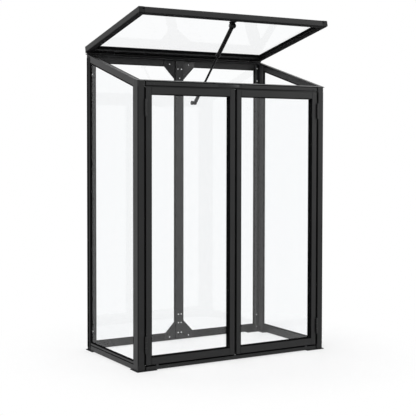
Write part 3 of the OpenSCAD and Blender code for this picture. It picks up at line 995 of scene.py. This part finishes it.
@dataclass
class DoorSeals:
    """The strips that close the gaps round the doors, the flanges beside them, and dark strips beside the gaps and
    along the posts' outer corners: painted shade in the gaps and painted dark reflection on the corners.
    """

    door_gap: float = 5.0 * MM
    fin: float = 3.4 * MM
    head_fin: float = 4.3 * MM
    thickness: float = 4.0 * MM
    set_back: float = 9.0 * MM
    sill_forward: float = 1.5 * MM
    rear_room: float = 1.0 * MM
    overrun: float = 3.0 * MM
    edge: float = 0.6 * MM
    flange_thickness: float = 2.0 * MM
    flange_back: float = 1.2 * MM
    flange_edge: float = 0.3 * MM
    shade_strip_width: float = 2.8 * MM
    shade_strip_depth: float = 1.4 * MM
    shade_strip_edge: float = 0.1 * MM
    shade_strip_proud: float = 0.25 * MM
    corner_round: float = 4.0 * MM
    corner_shade_width: float = 1.8 * MM
    corner_turn: float = math.radians(45.0)

    def build(self) -> None:
        """Makes the doorway's seals, the meeting fin, the painted shade strips and the doors' head flanges."""
        self._doorway()
        self._meeting()
        self._shade_strips()
        for side in Side:
            self._flange(side)

    def _deep(self, rear: float) -> Span:
        """The front and rear of a strip that lies near the doors' rear faces."""
        front = rear - self.thickness - self.rear_room
        return front, front + self.thickness

    def _doorway(self) -> None:
        """Makes the strips under the lintel, on the sill and beside the doors."""
        sill_low, sill_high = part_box("front_sill")
        low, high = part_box("left_door_hinge_stile")
        head = high.z + self.door_gap
        front = low.y + self.set_back
        across = (low.x - self.door_gap, self.door_gap - low.x)
        sill_y = (front - self.sill_forward, sill_high.y)
        work = Workpiece()
        work.block(across, (front, front + self.thickness), (head - self.head_fin, head), self.edge)
        work.block(across, sill_y, (sill_high.z, sill_high.z + self.fin), self.edge)
        for side in Side:
            inner = reach(f"front_{side.word}_post")[0]
            ends = side.span(inner, inner - self.fin)
            work.block(ends, self._deep(high.y), (sill_low.z, head), self.edge)
        work.piece("doorway_seal", RUBBER, Body.FRAME)

    def _meeting(self) -> None:
        """Makes the fin on the left door's meeting stile."""
        low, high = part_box("left_door_meeting_stile")
        height = (low.z - self.overrun, high.z + self.overrun)
        fin = Workpiece().block((high.x, high.x + self.door_gap / 2), self._deep(high.y), height, self.edge)
        fin.piece("meeting_seal", RUBBER, Body.LEFT_DOOR)

    def _shade_strips(self) -> None:
        """Makes the dark strips beside the door gaps, painted shade in the gaps, and those along the posts' outer
        corners, painted dark reflection.
        """
        low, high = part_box("right_door_meeting_stile")
        height = (low.z, high.z)
        skin = (low.y - self.shade_strip_proud, low.y + self.shade_strip_depth)
        outside = -self.corner_round - self.shade_strip_proud
        # The corner strip lies where the rounded corner reads dark: painted dark reflection
        seam = (-self.corner_shade_width / 2, self.corner_shade_width / 2)
        work = Workpiece()
        for side in Side:
            inner, outer = reach(f"front_{side.word}_post")
            work.block(side.span(inner, inner + self.shade_strip_width), skin, height, self.shade_strip_edge)
            centre = Vector((side.value * (outer - self.corner_round), low.y + self.corner_round, 0.0))
            corner = Matrix.Translation(centre) @ Matrix.Rotation(side.value * self.corner_turn, 4, "Z")
            work.block(seam, (outside, outside + self.shade_strip_depth), height, self.shade_strip_edge, corner)
        work.piece("post_painted_shade_strips", RUBBER, Body.FRAME)
        strip = Workpiece().block((low.x, low.x + self.shade_strip_width), skin, height, self.shade_strip_edge)
        strip.piece("meeting_painted_shade_strip", RUBBER, Body.RIGHT_DOOR)

    def _flange(self, side: Side) -> None:
        """Makes the thin flange that stands on a door's head.

        Args:
            side: The door's side.
        """
        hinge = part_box(f"{side.word}_door_hinge_stile")
        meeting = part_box(f"{side.word}_door_meeting_stile")
        ends = (min(hinge[0].x, meeting[0].x), max(hinge[1].x, meeting[1].x))
        front, head = hinge[0].y + self.flange_back, hinge[1].z
        # The flange takes the darkened frame paint, painted shade
        Workpiece().block(
            ends, (front, front + self.flange_thickness), (head, head + self.fin), self.flange_edge
        ).piece(f"{side.word}_door_head_flange", SHADED_COAT, side.door, Slot.FRAME_METAL)


@dataclass
class RoofSeals:
    """The lid's pads, drip strip, joints and lips, and the beads and flashing of the roof's caps. The pads and
    lips also paint the shade under the lid's bars.
    """

    lid: LidFrame = LidFrame()
    edge: float = 0.4 * MM
    pad_margin: float = 2.0 * MM
    pad_thickness: float = 1.6 * MM
    drip_depth: float = 1.4 * MM
    drip_z: Span = (-4.0 * MM, 3.0 * MM)
    joint_half: float = 0.3 * MM
    joint_proud: float = 0.15 * MM
    joint_depth: float = 0.5 * MM
    joint_z: Span = (1.2 * MM, 18.8 * MM)
    joint_edge: float = 0.05 * MM
    lip_width: float = 4.6 * MM
    lip_z: Span = (0.3 * MM, 2.0 * MM)
    bead_in: float = 370.0 * MM
    bead_width: float = 2.5 * MM
    bead_height: float = 0.6 * MM
    bead_front_room: float = 15.0 * MM
    bead_rear_room: float = 23.0 * MM
    bead_edge: float = 0.2 * MM
    hinge_x: float = 300.0 * MM
    hinge_room: float = 27.6 * MM
    flashing_in: float = 4.0 * MM
    flashing_y: Span = (-1.9 * MM, -0.3 * MM)
    flashing_height: float = 4.4 * MM
    flashing_edge: float = 0.3 * MM

    def build(self) -> None:
        """Makes the lid's pads, drip strip, joints and lips, then the cap's beads and the flashing."""
        self._pads()
        self._drip()
        self._joints()
        self._side_lips_and_shade()
        cap = Pane.broadest("left_roof_rail", UPWARD)
        self._cap_beads(cap)
        self._flashing(cap)

    def _between_hinges(self, out: float) -> tuple[Span, Span, Span]:
        """The stretches of a strip along the rear that the lid's hinges leave free."""
        near, far = self.hinge_x - self.hinge_room, self.hinge_x + self.hinge_room
        return (-out, -far), (-near, near), (far, out)

    def _pads(self) -> None:
        """Makes the soft pads under the lid's bars, their grey also painted shade on the bars' undersides."""
        out, inner = self.lid.half_width - self.pad_margin, self.lid.inner + self.pad_margin
        front, rear = self.pad_margin - self.lid.length, -self.pad_margin
        step = self.lid.bar - 2 * self.pad_margin
        below = (-self.pad_thickness, 0.0)
        work = Workpiece()
        for start in (front, rear - step):
            work.block((-out, out), (start, start + step), below, self.edge, self.lid.seat)
        for side in Side:
            work.block(side.span(inner, out), (front + step, rear - step), below, self.edge, self.lid.seat)
        work.piece("lid_pads", PAD_FOAM_AND_SHADE, Body.LID)

    def _drip(self) -> None:
        """Makes the drip strip on the lid's rear face, left open at the hinges."""
        work = Workpiece()
        for stretch in self._between_hinges(self.lid.half_width):
            work.block(stretch, (0.0, self.drip_depth), self.drip_z, self.edge, self.lid.seat)
        work.piece("lid_drip_strip", RUBBER, Body.LID)

    def _joints(self) -> None:
        """Makes the sealed butt joints that show on the lid's front face."""
        front = -self.lid.length
        skin = (front - self.joint_proud, front + self.joint_depth)
        work = Workpiece()
        for side in Side:
            ends = side.span(self.lid.inner - self.joint_half, self.lid.inner + self.joint_half)
            work.block(ends, skin, self.joint_z, self.joint_edge, self.lid.seat)
        work.piece("lid_corner_joints", RUBBER, Body.LID)

    def _side_lips_and_shade(self) -> None:
        """Makes the black lip seals along the inner lower edges of the lid's side bars, which also paint the shade
        there.
        """
        between = (self.lid.bar - self.lid.length, -self.lid.bar)
        work = Workpiece()
        for side in Side:
            ends = side.span(self.lid.inner - self.lip_width, self.lid.inner)
            work.block(ends, between, self.lip_z, self.edge, self.lid.seat)
        work.piece("lid_side_lips_and_shade", RUBBER, Body.LID)

    def _cap_beads(self, cap: Pane) -> None:
        """Makes the thin beads along the inner edges of the side caps.

        Args:
            cap: The top of the left cap strip.
        """
        between = (self.bead_front_room - cap.run, -self.bead_rear_room)
        work = Workpiece()
        for side in Side:
            ends = side.span(self.bead_in, self.bead_in + self.bead_width)
            work.block(ends, between, (0.0, self.bead_height), self.bead_edge, cap.seat())
        work.piece("roof_cap_beads", RUBBER, Body.FRAME)

    def _flashing(self, cap: Pane) -> None:
        """Makes the upstand along the rear of the hinge strip.

        Args:
            cap: The top of the left cap strip.
        """
        height = (0.0, self.flashing_height)
        work = Workpiece()
        for stretch in self._between_hinges(self.lid.half_width - self.flashing_in):
            work.block(stretch, self.flashing_y, height, self.flashing_edge, cap.seat())
        work.piece("rear_flashing", FRAME_COAT, Body.FRAME, Slot.FRAME_METAL)


@dataclass
class RailGrooveShade:
    """Dark rubber strips in the reveal grooves of the bottom rails: painted shade in the grooves."""

    down: float = 6.0 * MM
    width: float = 4.0 * MM
    depth: float = 1.4 * MM
    thickness: float = 0.9 * MM
    edge: float = 0.3 * MM

    def build(self) -> None:
        """Makes the three strips of painted shade."""
        work = Workpiece()
        for side in Side:
            node = f"{side.word}_bottom_rail"
            low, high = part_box(node)
            floor, top = reach(node)[1] - self.depth, high.z - self.down
            ends = side.span(floor, floor + self.thickness)
            work.block(ends, (low.y, high.y), (top - self.width, top), self.edge)
        low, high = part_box("rear_bottom_rail")
        floor, top = high.y - self.depth, high.z - self.down
        work.block((low.x, high.x), (floor, floor + self.thickness), (top - self.width, top), self.edge)
        work.piece("rail_groove_painted_shade", RUBBER, Body.FRAME)


@dataclass
class DoorFittings:
    """The small fittings of the doorway: glides, screws, lintel trims, joints and hinge fittings, with black
    linings in the hinge mortises that paint their shade.
    """

    glide_x: tuple[float, ...] = (-310.0 * MM, 0.0, 310.0 * MM)
    glide: Vector = Vector((9.0 * MM, 6.0 * MM, 4.0 * MM))
    glide_back: float = 0.3 * MM
    glide_edge: float = 0.8 * MM
    screw_x: Span = (322.0 * MM, 338.0 * MM)
    screw_z: float = 4.5 * MM
    screw_head: Outline = in_mm(
        (0.0, 0.4), (0.7, 0.4), (0.9, 0.8), (1.6, 0.7), (2.1, 0.3), (2.2, 0.0), (0.0, 0.0)
    )
    edge_seal: float = 2.8 * MM
    edge_seal_y: Span = (-0.25 * MM, 1.0 * MM)
    cover_x: Span = (-70.0 * MM, 14.0 * MM)
    cover_tail: float = 8.0 * MM
    cover_up: float = 0.8 * MM
    cover_thickness: float = 0.5 * MM
    lintel_edge: float = 0.2 * MM
    seam_half: float = 0.7 * MM
    seam_y: Span = (-0.3 * MM, 0.5 * MM)
    seam_edge: float = 0.1 * MM
    rail_height: float = 24.0 * MM
    joint_half: float = 0.3 * MM
    joint_y: Span = (-0.12 * MM, 0.8 * MM)
    joint_room: float = 0.8 * MM
    joint_edge: float = 0.05 * MM
    hinge_length: float = 54.0 * MM
    pin_head: Outline = in_mm(
        (0.0, 1.8), (1.0, 1.65), (2.0, 1.1), (2.7, 0.3), (2.8, 0.0), (0.0, 0.0)
    )
    # Black linings in the hinge mortises: painted shade in the recesses
    recess_shade_radii: Span = (5.1 * MM, 6.4 * MM)
    recess_shade_steps: int = 48
    recess_shade_back: float = 0.2 * MM
    recess_shade_split: float = 2.6 * MM

    def build(self) -> None:
        """Makes the fittings."""
        self._glides()
        self._lintel_screws()
        self._lintel_trims()
        for side in Side:
            self._corner_joints(side)
            self._hinges(side)

    def _glides(self) -> None:
        """Makes the glides that the closed doors stand over."""
        low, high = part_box("front_sill")
        front, half = low.y + self.glide_back, self.glide.x / 2
        height = (high.z, high.z + self.glide.z)
        work = Workpiece()
        for x in self.glide_x:
            work.block((x - half, x + half), (front, front + self.glide.y), height, self.glide_edge)
        work.piece("sill_glides", NYLON, Body.FRAME)

    def _lintel_screws(self) -> None:
        """Makes the screw heads near the ends of the lintel."""
        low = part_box("front_lintel")[0]
        work = Workpiece()
        for side in Side:
            for x in self.screw_x:
                work.turn(self.screw_head, Vector((side.value * x, low.y, low.z + self.screw_z)), FRONTWARD)
        work.piece("lintel_screws", DARK_SCREW, Body.FRAME)

    def _lintel_trims(self) -> None:
        """Makes the seal along the lintel's top edge, the cover of its joint and the cover's seams."""
        face = Pane.broadest("front_lintel", FRONTWARD)
        front = face.corners[0].y
        low, high = (limit(corner.z for corner in face.corners) for limit in (min, max))
        end = max(corner.x for corner in face.corners)
        height = (low + self.cover_up, high - self.edge_seal)
        skin = tuple(front + y for y in self.edge_seal_y)
        Workpiece().block((-end, end), skin, (high - self.edge_seal, high), self.lintel_edge).piece(
            "lintel_edge_seal", RUBBER, Body.FRAME
        )
        skin = (front - self.cover_thickness, front)
        Workpiece().block(self.cover_x, skin, height, self.lintel_edge).piece(
            "lintel_joint_cover", FRAME_COAT, Body.FRAME, Slot.FRAME_METAL
        )
        skin = tuple(front + y for y in self.seam_y)
        work = Workpiece()
        for x in (*self.cover_x, self.cover_x[1] + self.cover_tail):
            work.block((x - self.seam_half, x + self.seam_half), skin, height, self.seam_edge)
        work.piece("lintel_joint_seams", RUBBER, Body.FRAME)

    def _corner_joints(self, side: Side) -> None:
        """Makes the sealed butt joints that show at a door's corners.

        Args:
            side: The door's side.
        """
        length = self.rail_height - self.joint_room
        work = Workpiece()
        for stile in ("hinge", "meeting"):
            low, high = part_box(f"{side.word}_door_{stile}_stile")
            seam = low.x if (stile == "hinge") == (side is Side.RIGHT) else high.x
            ends = (seam - self.joint_half, seam + self.joint_half)
            skin = tuple(low.y + y for y in self.joint_y)
            for start in (low.z + self.joint_room, high.z - self.rail_height):
                work.block(ends, skin, (start, start + length), self.joint_edge)
        work.piece(f"{side.word}_door_corner_joints", RUBBER, side.door)

    def _hinges(self, side: Side) -> None:
        """Makes the pin heads of a door's hinges and the black linings of their mortises, painted shade in the
        recesses.

        Args:
            side: The door's side.
        """
        joint = next(j for j in frame["joints"] if j["child"] == side.door.value)
        x, y = joint["pos_m"][:2]
        low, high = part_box(f"{side.word}_post_hinges")
        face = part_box(f"{side.word}_door_hinge_stile")[0].y
        inner, outer = self.recess_shade_radii
        length = self.hinge_length
        tube = ((inner, 0.0), (outer, 0.0), (outer, length), (inner, length), (inner, 0.0))
        heads, fixed, moving = Workpiece(), Workpiece(), Workpiece()
        for bottom in (low.z, high.z - length):
            foot = Vector((x, y, bottom))
            heads.turn(self.pin_head, foot, -UPWARD)
            heads.turn(self.pin_head, foot + UPWARD * length, UPWARD)
            for recess_shade in (fixed, moving):
                recess_shade.turn(tube, foot, UPWARD, self.recess_shade_steps)
        outward = RIGHTWARD * side.value
        wall = Vector((x, face + self.recess_shade_back, 0.0))
        fixed.cut(wall, FRONTWARD).cut(wall + outward * self.recess_shade_split, -outward)
        moving.cut(wall, FRONTWARD).cut(wall - outward * self.recess_shade_split, outward)
        heads.piece(f"{side.word}_hinge_pin_heads", HINGE_COAT, Body.FRAME, Slot.HINGE_METAL)
        fixed.piece(f"{side.word}_post_hinge_recess_shade", RUBBER, Body.FRAME)
        moving.piece(f"{side.word}_door_hinge_recess_shade", RUBBER, side.door)


@dataclass
class RearWall:
    """The gusset plates of the rear wall, and the dark strips of painted shade on its upright and posts."""

    strap_half: float = 16.0 * MM
    upper_half: float = 68.0 * MM
    upper_taper: float = 54.0 * MM
    lower_half: float = 64.0 * MM
    lower_taper: float = 50.0 * MM
    lower_step: float = 1.0 * MM
    plate_edge: float = 0.3 * MM
    edge: float = 0.2 * MM
    proud: float = 0.3 * MM
    sunk: float = 0.5 * MM
    end_room: float = 10.0 * MM
    # Dark strips on the rear posts: painted shade
    corner_shade_strips: Outline = in_mm((2.2, 16.0), (27.0, 31.4))
    corner_shade_depth: float = 0.6 * MM
    corner_top_room: float = 14.0 * MM
    leg_edge_shade: Span = (0.0, 3.0 * MM)
    leg_centre_shade: Span = (12.5 * MM, 25.5 * MM)
    upright_chamfer: float = 1.2 * MM

    def build(self) -> None:
        """Makes the gusset plates and the painted shade strips."""
        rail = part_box("rear_top_rail")[0].z
        low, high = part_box("upper_gusset")
        self._gusset("upper_gusset", self.upper_half, (high.z, rail, rail - self.upper_taper, low.z))
        low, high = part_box("lower_gusset")
        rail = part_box("rear_bottom_rail")[1].z - self.lower_step
        self._gusset("lower_gusset", self.lower_half, (low.z, rail, rail + self.lower_taper, high.z))
        self._post_shade_strips()
        self._upright_shade_strips()

    def _gusset(self, node: str, half: float, levels: tuple[float, float, float, float]) -> None:
        """Makes one gusset plate, with a wide base on its rail, a taper and a narrow strap.

        Args:
            node: The gusset's node.
            half: Half the width of its base.
            levels: Heights of its base, its shoulders, the end of its taper and its strap's end.
        """
        low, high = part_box(node)
        widths = (half, half, self.strap_half, self.strap_half)
        right = list(zip(widths, levels))
        outline = right + [(-x, z) for x, z in reversed(right)]
        work = Workpiece().plate(outline, low.y, high.y - low.y, self.plate_edge)
        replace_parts(work.piece(f"{node}_plate", GUSSET_COAT, Body.FRAME, Slot.GUSSET_METAL), node)

    def _post_shade_strips(self) -> None:
        """Makes the dark strips on the rear posts' sides and edges and the darker bands under their rivets, all
        painted shade.
        """
        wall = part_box("rear_bottom_rail")[0].y
        skin = (wall - self.proud, wall + self.sunk)
        strips, shade_bands = Workpiece(), Workpiece()
        for side in Side:
            node = f"rear_{side.word}_post"
            low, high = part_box(node)
            inner, outer = reach(node)
            ends = side.span(outer - self.corner_shade_depth, outer + self.proud)
            height = (low.z + self.end_room, high.z - self.corner_top_room)
            for near, far in self.corner_shade_strips:
                strips.block(ends, (high.y - far, high.y - near), height, self.edge)
            height = (low.z + self.end_room, high.z - self.end_room)
            for work, (near, far) in ((strips, self.leg_edge_shade), (shade_bands, self.leg_centre_shade)):
                work.block(side.span(inner + near, inner + far), skin, height, self.edge)
        strips.piece("rear_corner_painted_shade", RUBBER, Body.FRAME)
        shade_bands.piece("rear_post_painted_shade", SHADED_COAT, Body.FRAME, Slot.FRAME_METAL)

    def _upright_shade_strips(self) -> None:
        """Makes the dark strips on both sides of the upright, in front of the gussets and between them: a painted
        shadow line.
        """
        low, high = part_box("rear_mullion")
        upper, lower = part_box("upper_gusset")[0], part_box("lower_gusset")[1]
        front, plate = low.y + self.upright_chamfer, upper.y - self.edge
        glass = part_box("rear_left_pane")[0].y - self.sunk
        spans = (
            (plate, low.z + self.lower_step, lower.z + self.sunk),
            (glass, lower.z + self.sunk, upper.z - self.sunk),
            (plate, upper.z - self.sunk, high.z - self.lower_step),
        )
        work = Workpiece()
        for side in Side:
            ends = side.span(high.x - self.sunk, high.x + self.proud)
            for back, start, stop in spans:
                work.block(ends, (front, back), (start, stop), self.edge)
        work.piece("upright_side_painted_shade", RUBBER, Body.FRAME)


@dataclass
class Stay:
    """The fittings of the telescopic stay, turned on its own axis, and the foot of its bracket.

    The rims of the collar and of the rings are given from the radius of the tube or sleeve.
    """

    lid: LidFrame = LidFrame()
    steps: int = 32
    tube_length: float = 138.0 * MM
    tube_r: float = 7.5 * MM
    rod_r: float = 4.0 * MM
    wiper_gap: float = 0.4 * MM
    wiper_z: Span = (-9.0 * MM, 3.4 * MM)
    collar_rim: Outline = in_mm(
        (-0.5, -9.0), (0.6, -8.4), (0.9, -7.0), (0.9, -1.6), (0.4, -0.6), (-1.2, 0.3), (-1.6, 3.0)
    )
    sleeve_r: float = 6.5 * MM
    sleeve_length: float = 66.0 * MM
    ring_rim: Outline = in_mm(
        (-2.0, 0.0), (0.3, 0.0), (0.8, 0.8), (0.8, 3.2), (0.3, 4.0), (-2.0, 4.0), (-2.0, 0.0)
    )
    ring_past: float = 0.6 * MM
    ring_back: float = 4.4 * MM
    neck: float = 9.5 * MM
    stud_out: float = 15.0 * MM
    stud_steps: int = 20
    stud_dome: Outline = in_mm((0.0, 1.6), (1.6, 1.4), (2.6, 0.8), (3.0, 0.0), (0.0, 0.0))
    barrel_out: float = 7.8 * MM
    lug_out: float = 6.0 * MM
    cap_height: float = 6.0 * MM
    cap_steps: int = 28
    cap: Outline = in_mm(
        (0.0, 6.0), (3.0, 5.8), (6.2, 4.6), (8.4, 2.4), (9.2, 0.8), (9.2, 0.0), (0.0, 0.0)
    )
    hub: Outline = in_mm((0.0, 1.6), (2.2, 1.4), (3.3, 0.7), (3.5, -0.6), (0.0, -0.6))
    foot_half: float = 10.0 * MM
    foot_y: Span = (0.0, 25.0 * MM)
    foot_z: Span = (0.4 * MM, 6.0 * MM)
    boss_half: float = 8.0 * MM
    boss_y: Span = (14.0 * MM, 25.0 * MM)
    boss_z: Span = (-6.0 * MM, 1.0 * MM)
    foot_edge: float = 1.2 * MM

    def build(self) -> None:
        """Makes the pivot's caps, the bracket's foot, the collar, the rings and the stud's end."""
        swing = next(j for j in frame["joints"] if j["name"] == "stay_swing")
        slide = next(j for j in frame["joints"] if j["name"] == "stay_slide")
        top, axis = Vector(swing["pos_m"]), Vector(slide["axis"]).normalized()
        end = self._end(top, axis)
        self._pivot_caps(top)
        self._bracket_foot()
        self._tube_collar(top, axis)
        self._sleeve_rings(end, axis)
        self._stud_end(end)

    def _end(self, top: Vector, axis: Vector) -> Vector:
        """Finds the middle of the ball at the stay's lower end.

        Args:
            top: The stay's upper pivot.
            axis: The direction down the stay.

        Returns:
            That point.
        """
        rod = frame["nodes"]["stay_rod"].data
        longest = max((vertex.co - top).dot(axis) for vertex in rod.vertices)
        return top + axis * (longest + self.neck)

    def _tube_collar(self, top: Vector, axis: Vector) -> None:
        """Makes the rolled collar and the wiper at the tube's mouth.

        Args:
            top: The stay's upper pivot.
            axis: The direction down the stay.
        """
        start, stop = ((self.rod_r + self.wiper_gap, z) for z in self.wiper_z)
        rim = [(self.tube_r + out, z) for out, z in self.collar_rim]
        collar = Workpiece().turn([start, *rim, stop, start], top + axis * self.tube_length, axis, self.steps)
        collar.piece("stay_tube_collar", STAY_PAINT, Body.STAY_TUBE, Slot.STAY_METAL)

    def _sleeve_rings(self, end: Vector, axis: Vector) -> None:
        """Makes the rings at both ends of the sleeve.

        Args:
            end: The middle of the ball at the stay's lower end.
            axis: The direction down the stay.
        """
        ring = [(self.sleeve_r + out, z) for out, z in self.ring_rim]
        work = Workpiece()
        for start in (self.sleeve_length + self.ring_past, self.ring_back):
            work.turn(ring, end - axis * (self.neck + start), axis, self.steps)
        work.piece("stay_sleeve_rings", STAY_PAINT, Body.STAY_ROD, Slot.STAY_METAL)

    def _stud_end(self, end: Vector) -> None:
        """Makes the dark end of the stud in the ball joint's round head.

        Args:
            end: The middle of the ball at the stay's lower end.
        """
        face = end - RIGHTWARD * self.stud_out
        dome = Workpiece().turn(self.stud_dome, face, -RIGHTWARD, self.stud_steps)
        dome.piece("stay_stud_end", DARK_SCREW, Body.STAY_ROD)

    def _pivot_caps(self, top: Vector) -> None:
        """Makes the round caps on both ends of the upper pivot's pin, and the button on one of them.

        Args:
            top: The stay's upper pivot.
        """
        work = Workpiece()
        for start, axis in ((-self.barrel_out, -RIGHTWARD), (self.lug_out, RIGHTWARD)):
            work.turn(self.cap, top + RIGHTWARD * start, axis, self.cap_steps)
        work.piece("stay_pivot_caps", STAY_PAINT, Body.LID)
        face = top - RIGHTWARD * (self.barrel_out + self.cap_height)
        button = Workpiece().turn(self.hub, face, -RIGHTWARD, self.stud_steps)
        button.piece("stay_pivot_hub", PIVOT_BUTTON, Body.LID)

    def _bracket_foot(self) -> None:
        """Makes the thick foot of the bracket behind the lid's front bar."""
        back = self.lid.bar - self.lid.length
        work = Workpiece()
        for half, y, z in (
            (self.foot_half, self.foot_y, self.foot_z), (self.boss_half, self.boss_y, self.boss_z)
        ):
            work.block((-half, half), (back + y[0], back + y[1]), z, self.foot_edge, self.lid.seat)
        work.piece("stay_bracket_foot", STAY_PAINT, Body.LID)


@dataclass(frozen=True)
class Softbox:
    """One square lamp: its name, its place, its side in metres and its power in watts."""

    name: str
    place: tuple[float, float, float]
    side: float
    power: float

    def hang(self, target: Vector) -> None:
        """Hangs the lamp so that it faces the object.

        Args:
            target: The point that it faces.
        """
        data = bpy.data.lights.new(self.name, "AREA")
        data.size = self.side
        data.energy = self.power
        lamp = bpy.data.objects.new(self.name, data)
        lamp.location = self.place
        lamp.visible_transmission = False
        lamp.rotation_euler = (target - Vector(self.place)).to_track_quat("-Z", "Y").to_euler()
        bpy.context.scene.collection.objects.link(lamp)


@dataclass
class Studio:
    """The floor, the white surround, the lamps and the camera.

    The focal length and the principal point are pixels of the photograph's frame, and the yaw and the
    pitch are degrees.
    """

    floor_side: float = 60.0
    ambient: float = 0.45
    ambient_colour: Colour = (0.97, 0.985, 1.0)
    target: Vector = Vector((0.0, 0.0, 0.6))
    lamps: tuple[Softbox, ...] = (
        Softbox("key", (-3.0, -1.9, 2.6), 2.4, 120.0),
        Softbox("fill", (3.5, -1.9, 1.7), 2.2, 44.0),
        Softbox("overhead", (0.2, 0.9, 3.6), 2.6, 70.0),
    )
    flag_place: Vector = Vector((-3.9, -2.2, 1.2))
    flag_size: Vector = Vector((2.2, 5.0, 1.0))
    eye: Vector = Vector((-1827.6 * MM, -2993.7 * MM, 749.7 * MM))
    yaw: float = 29.07
    pitch: float = 1.85
    focal_pixels: float = 954.3
    principal: Span = (166.4, 177.0)
    sensor: float = 36.0

    def build(self) -> None:
        """Sets up the studio."""
        bpy.context.scene.view_settings.view_transform = "Standard"
        floor_size = Vector((self.floor_side, self.floor_side, 1.0))
        self._sheet("studio_floor", floor_size, Matrix(), StudioFloor("studio_floor"))
        self._surround()
        for lamp in self.lamps:
            lamp.hang(self.target)
        self._flag()
        self._camera()

    def _sheet(self, name: str, size: Vector, seat: Matrix, finish: Finish) -> bpy.types.Object:
        """Makes one flat sheet of the set, which isn't part of the object.

        Args:
            name: The sheet's name.
            size: Its width and length.
            seat: The frame that it lies in.
            finish: The finish it has.

        Returns:
            The sheet.
        """
        mesh = bmesh.new()
        bmesh.ops.create_grid(mesh, x_segments=1, y_segments=1, size=0.5)
        bmesh.ops.scale(mesh, vec=size, verts=mesh.verts[:])
        bmesh.ops.transform(mesh, matrix=seat, verts=mesh.verts[:])
        data = bpy.data.meshes.new(name)
        mesh.to_mesh(data)
        mesh.free()
        data.materials.append(finish.material())
        sheet = bpy.data.objects.new(name, data)
        bpy.context.scene.collection.objects.link(sheet)
        return sheet

    def _surround(self) -> None:
        """Makes the surround white where it is seen and softer where it lights."""
        world = bpy.data.worlds.new("studio_surround")
        bpy.context.scene.world = world
        table = NodeTable(world)
        soft = table.add(
            "ShaderNodeBackground", {"Color": (*self.ambient_colour, 1.0), "Strength": self.ambient}
        )
        white = table.add("ShaderNodeBackground", {"Color": (1.0, 1.0, 1.0, 1.0), "Strength": 1.0})
        both = table.blend(seen_rays(table), soft.outputs["Background"], white.outputs["Background"])
        table.join(both, table.add("ShaderNodeOutputWorld").inputs["Surface"])

    def _flag(self) -> None:
        """Stands a black flag at the front left, which only gloss sees, so that corners read dark."""
        facing = (self.target - self.flag_place).to_track_quat("Z", "Y").to_matrix().to_4x4()
        seat = Matrix.Translation(self.flag_place) @ facing
        flag = self._sheet("black_flag", self.flag_size, seat, RUBBER)
        flag.visible_camera = False
        flag.visible_diffuse = False
        flag.visible_transmission = False
        flag.visible_shadow = False

    def _camera(self) -> None:
        """Sets the camera at the photograph's viewing angle and framing."""
        data = bpy.data.cameras.new("camera")
        data.sensor_width = self.sensor
        data.lens = self.focal_pixels / IMAGE_SIDE * self.sensor
        half = IMAGE_SIDE / 2
        data.shift_x = (half - self.principal[0]) / IMAGE_SIDE
        data.shift_y = (self.principal[1] - half) / IMAGE_SIDE
        camera = bpy.data.objects.new("camera", data)
        camera.location = self.eye
        camera.rotation_euler = (math.radians(90.0 - self.pitch), 0.0, math.radians(-self.yaw))
        bpy.context.scene.collection.objects.link(camera)
        bpy.context.scene.camera = camera


def main() -> None:
    """Builds the studio, dresses the greenhouse and makes its fittings."""
    logging.basicConfig(level=logging.INFO, format="%(message)s")
    parts = (
        Studio(), PackedNodes(), Glazing(), Riveting(), DoorSeals(), RoofSeals(), RailGrooveShade(),
        DoorFittings(), RearWall(), Stay(),
    )
    for part in parts:
        part.build()


if __name__ == "__main__":
    main()
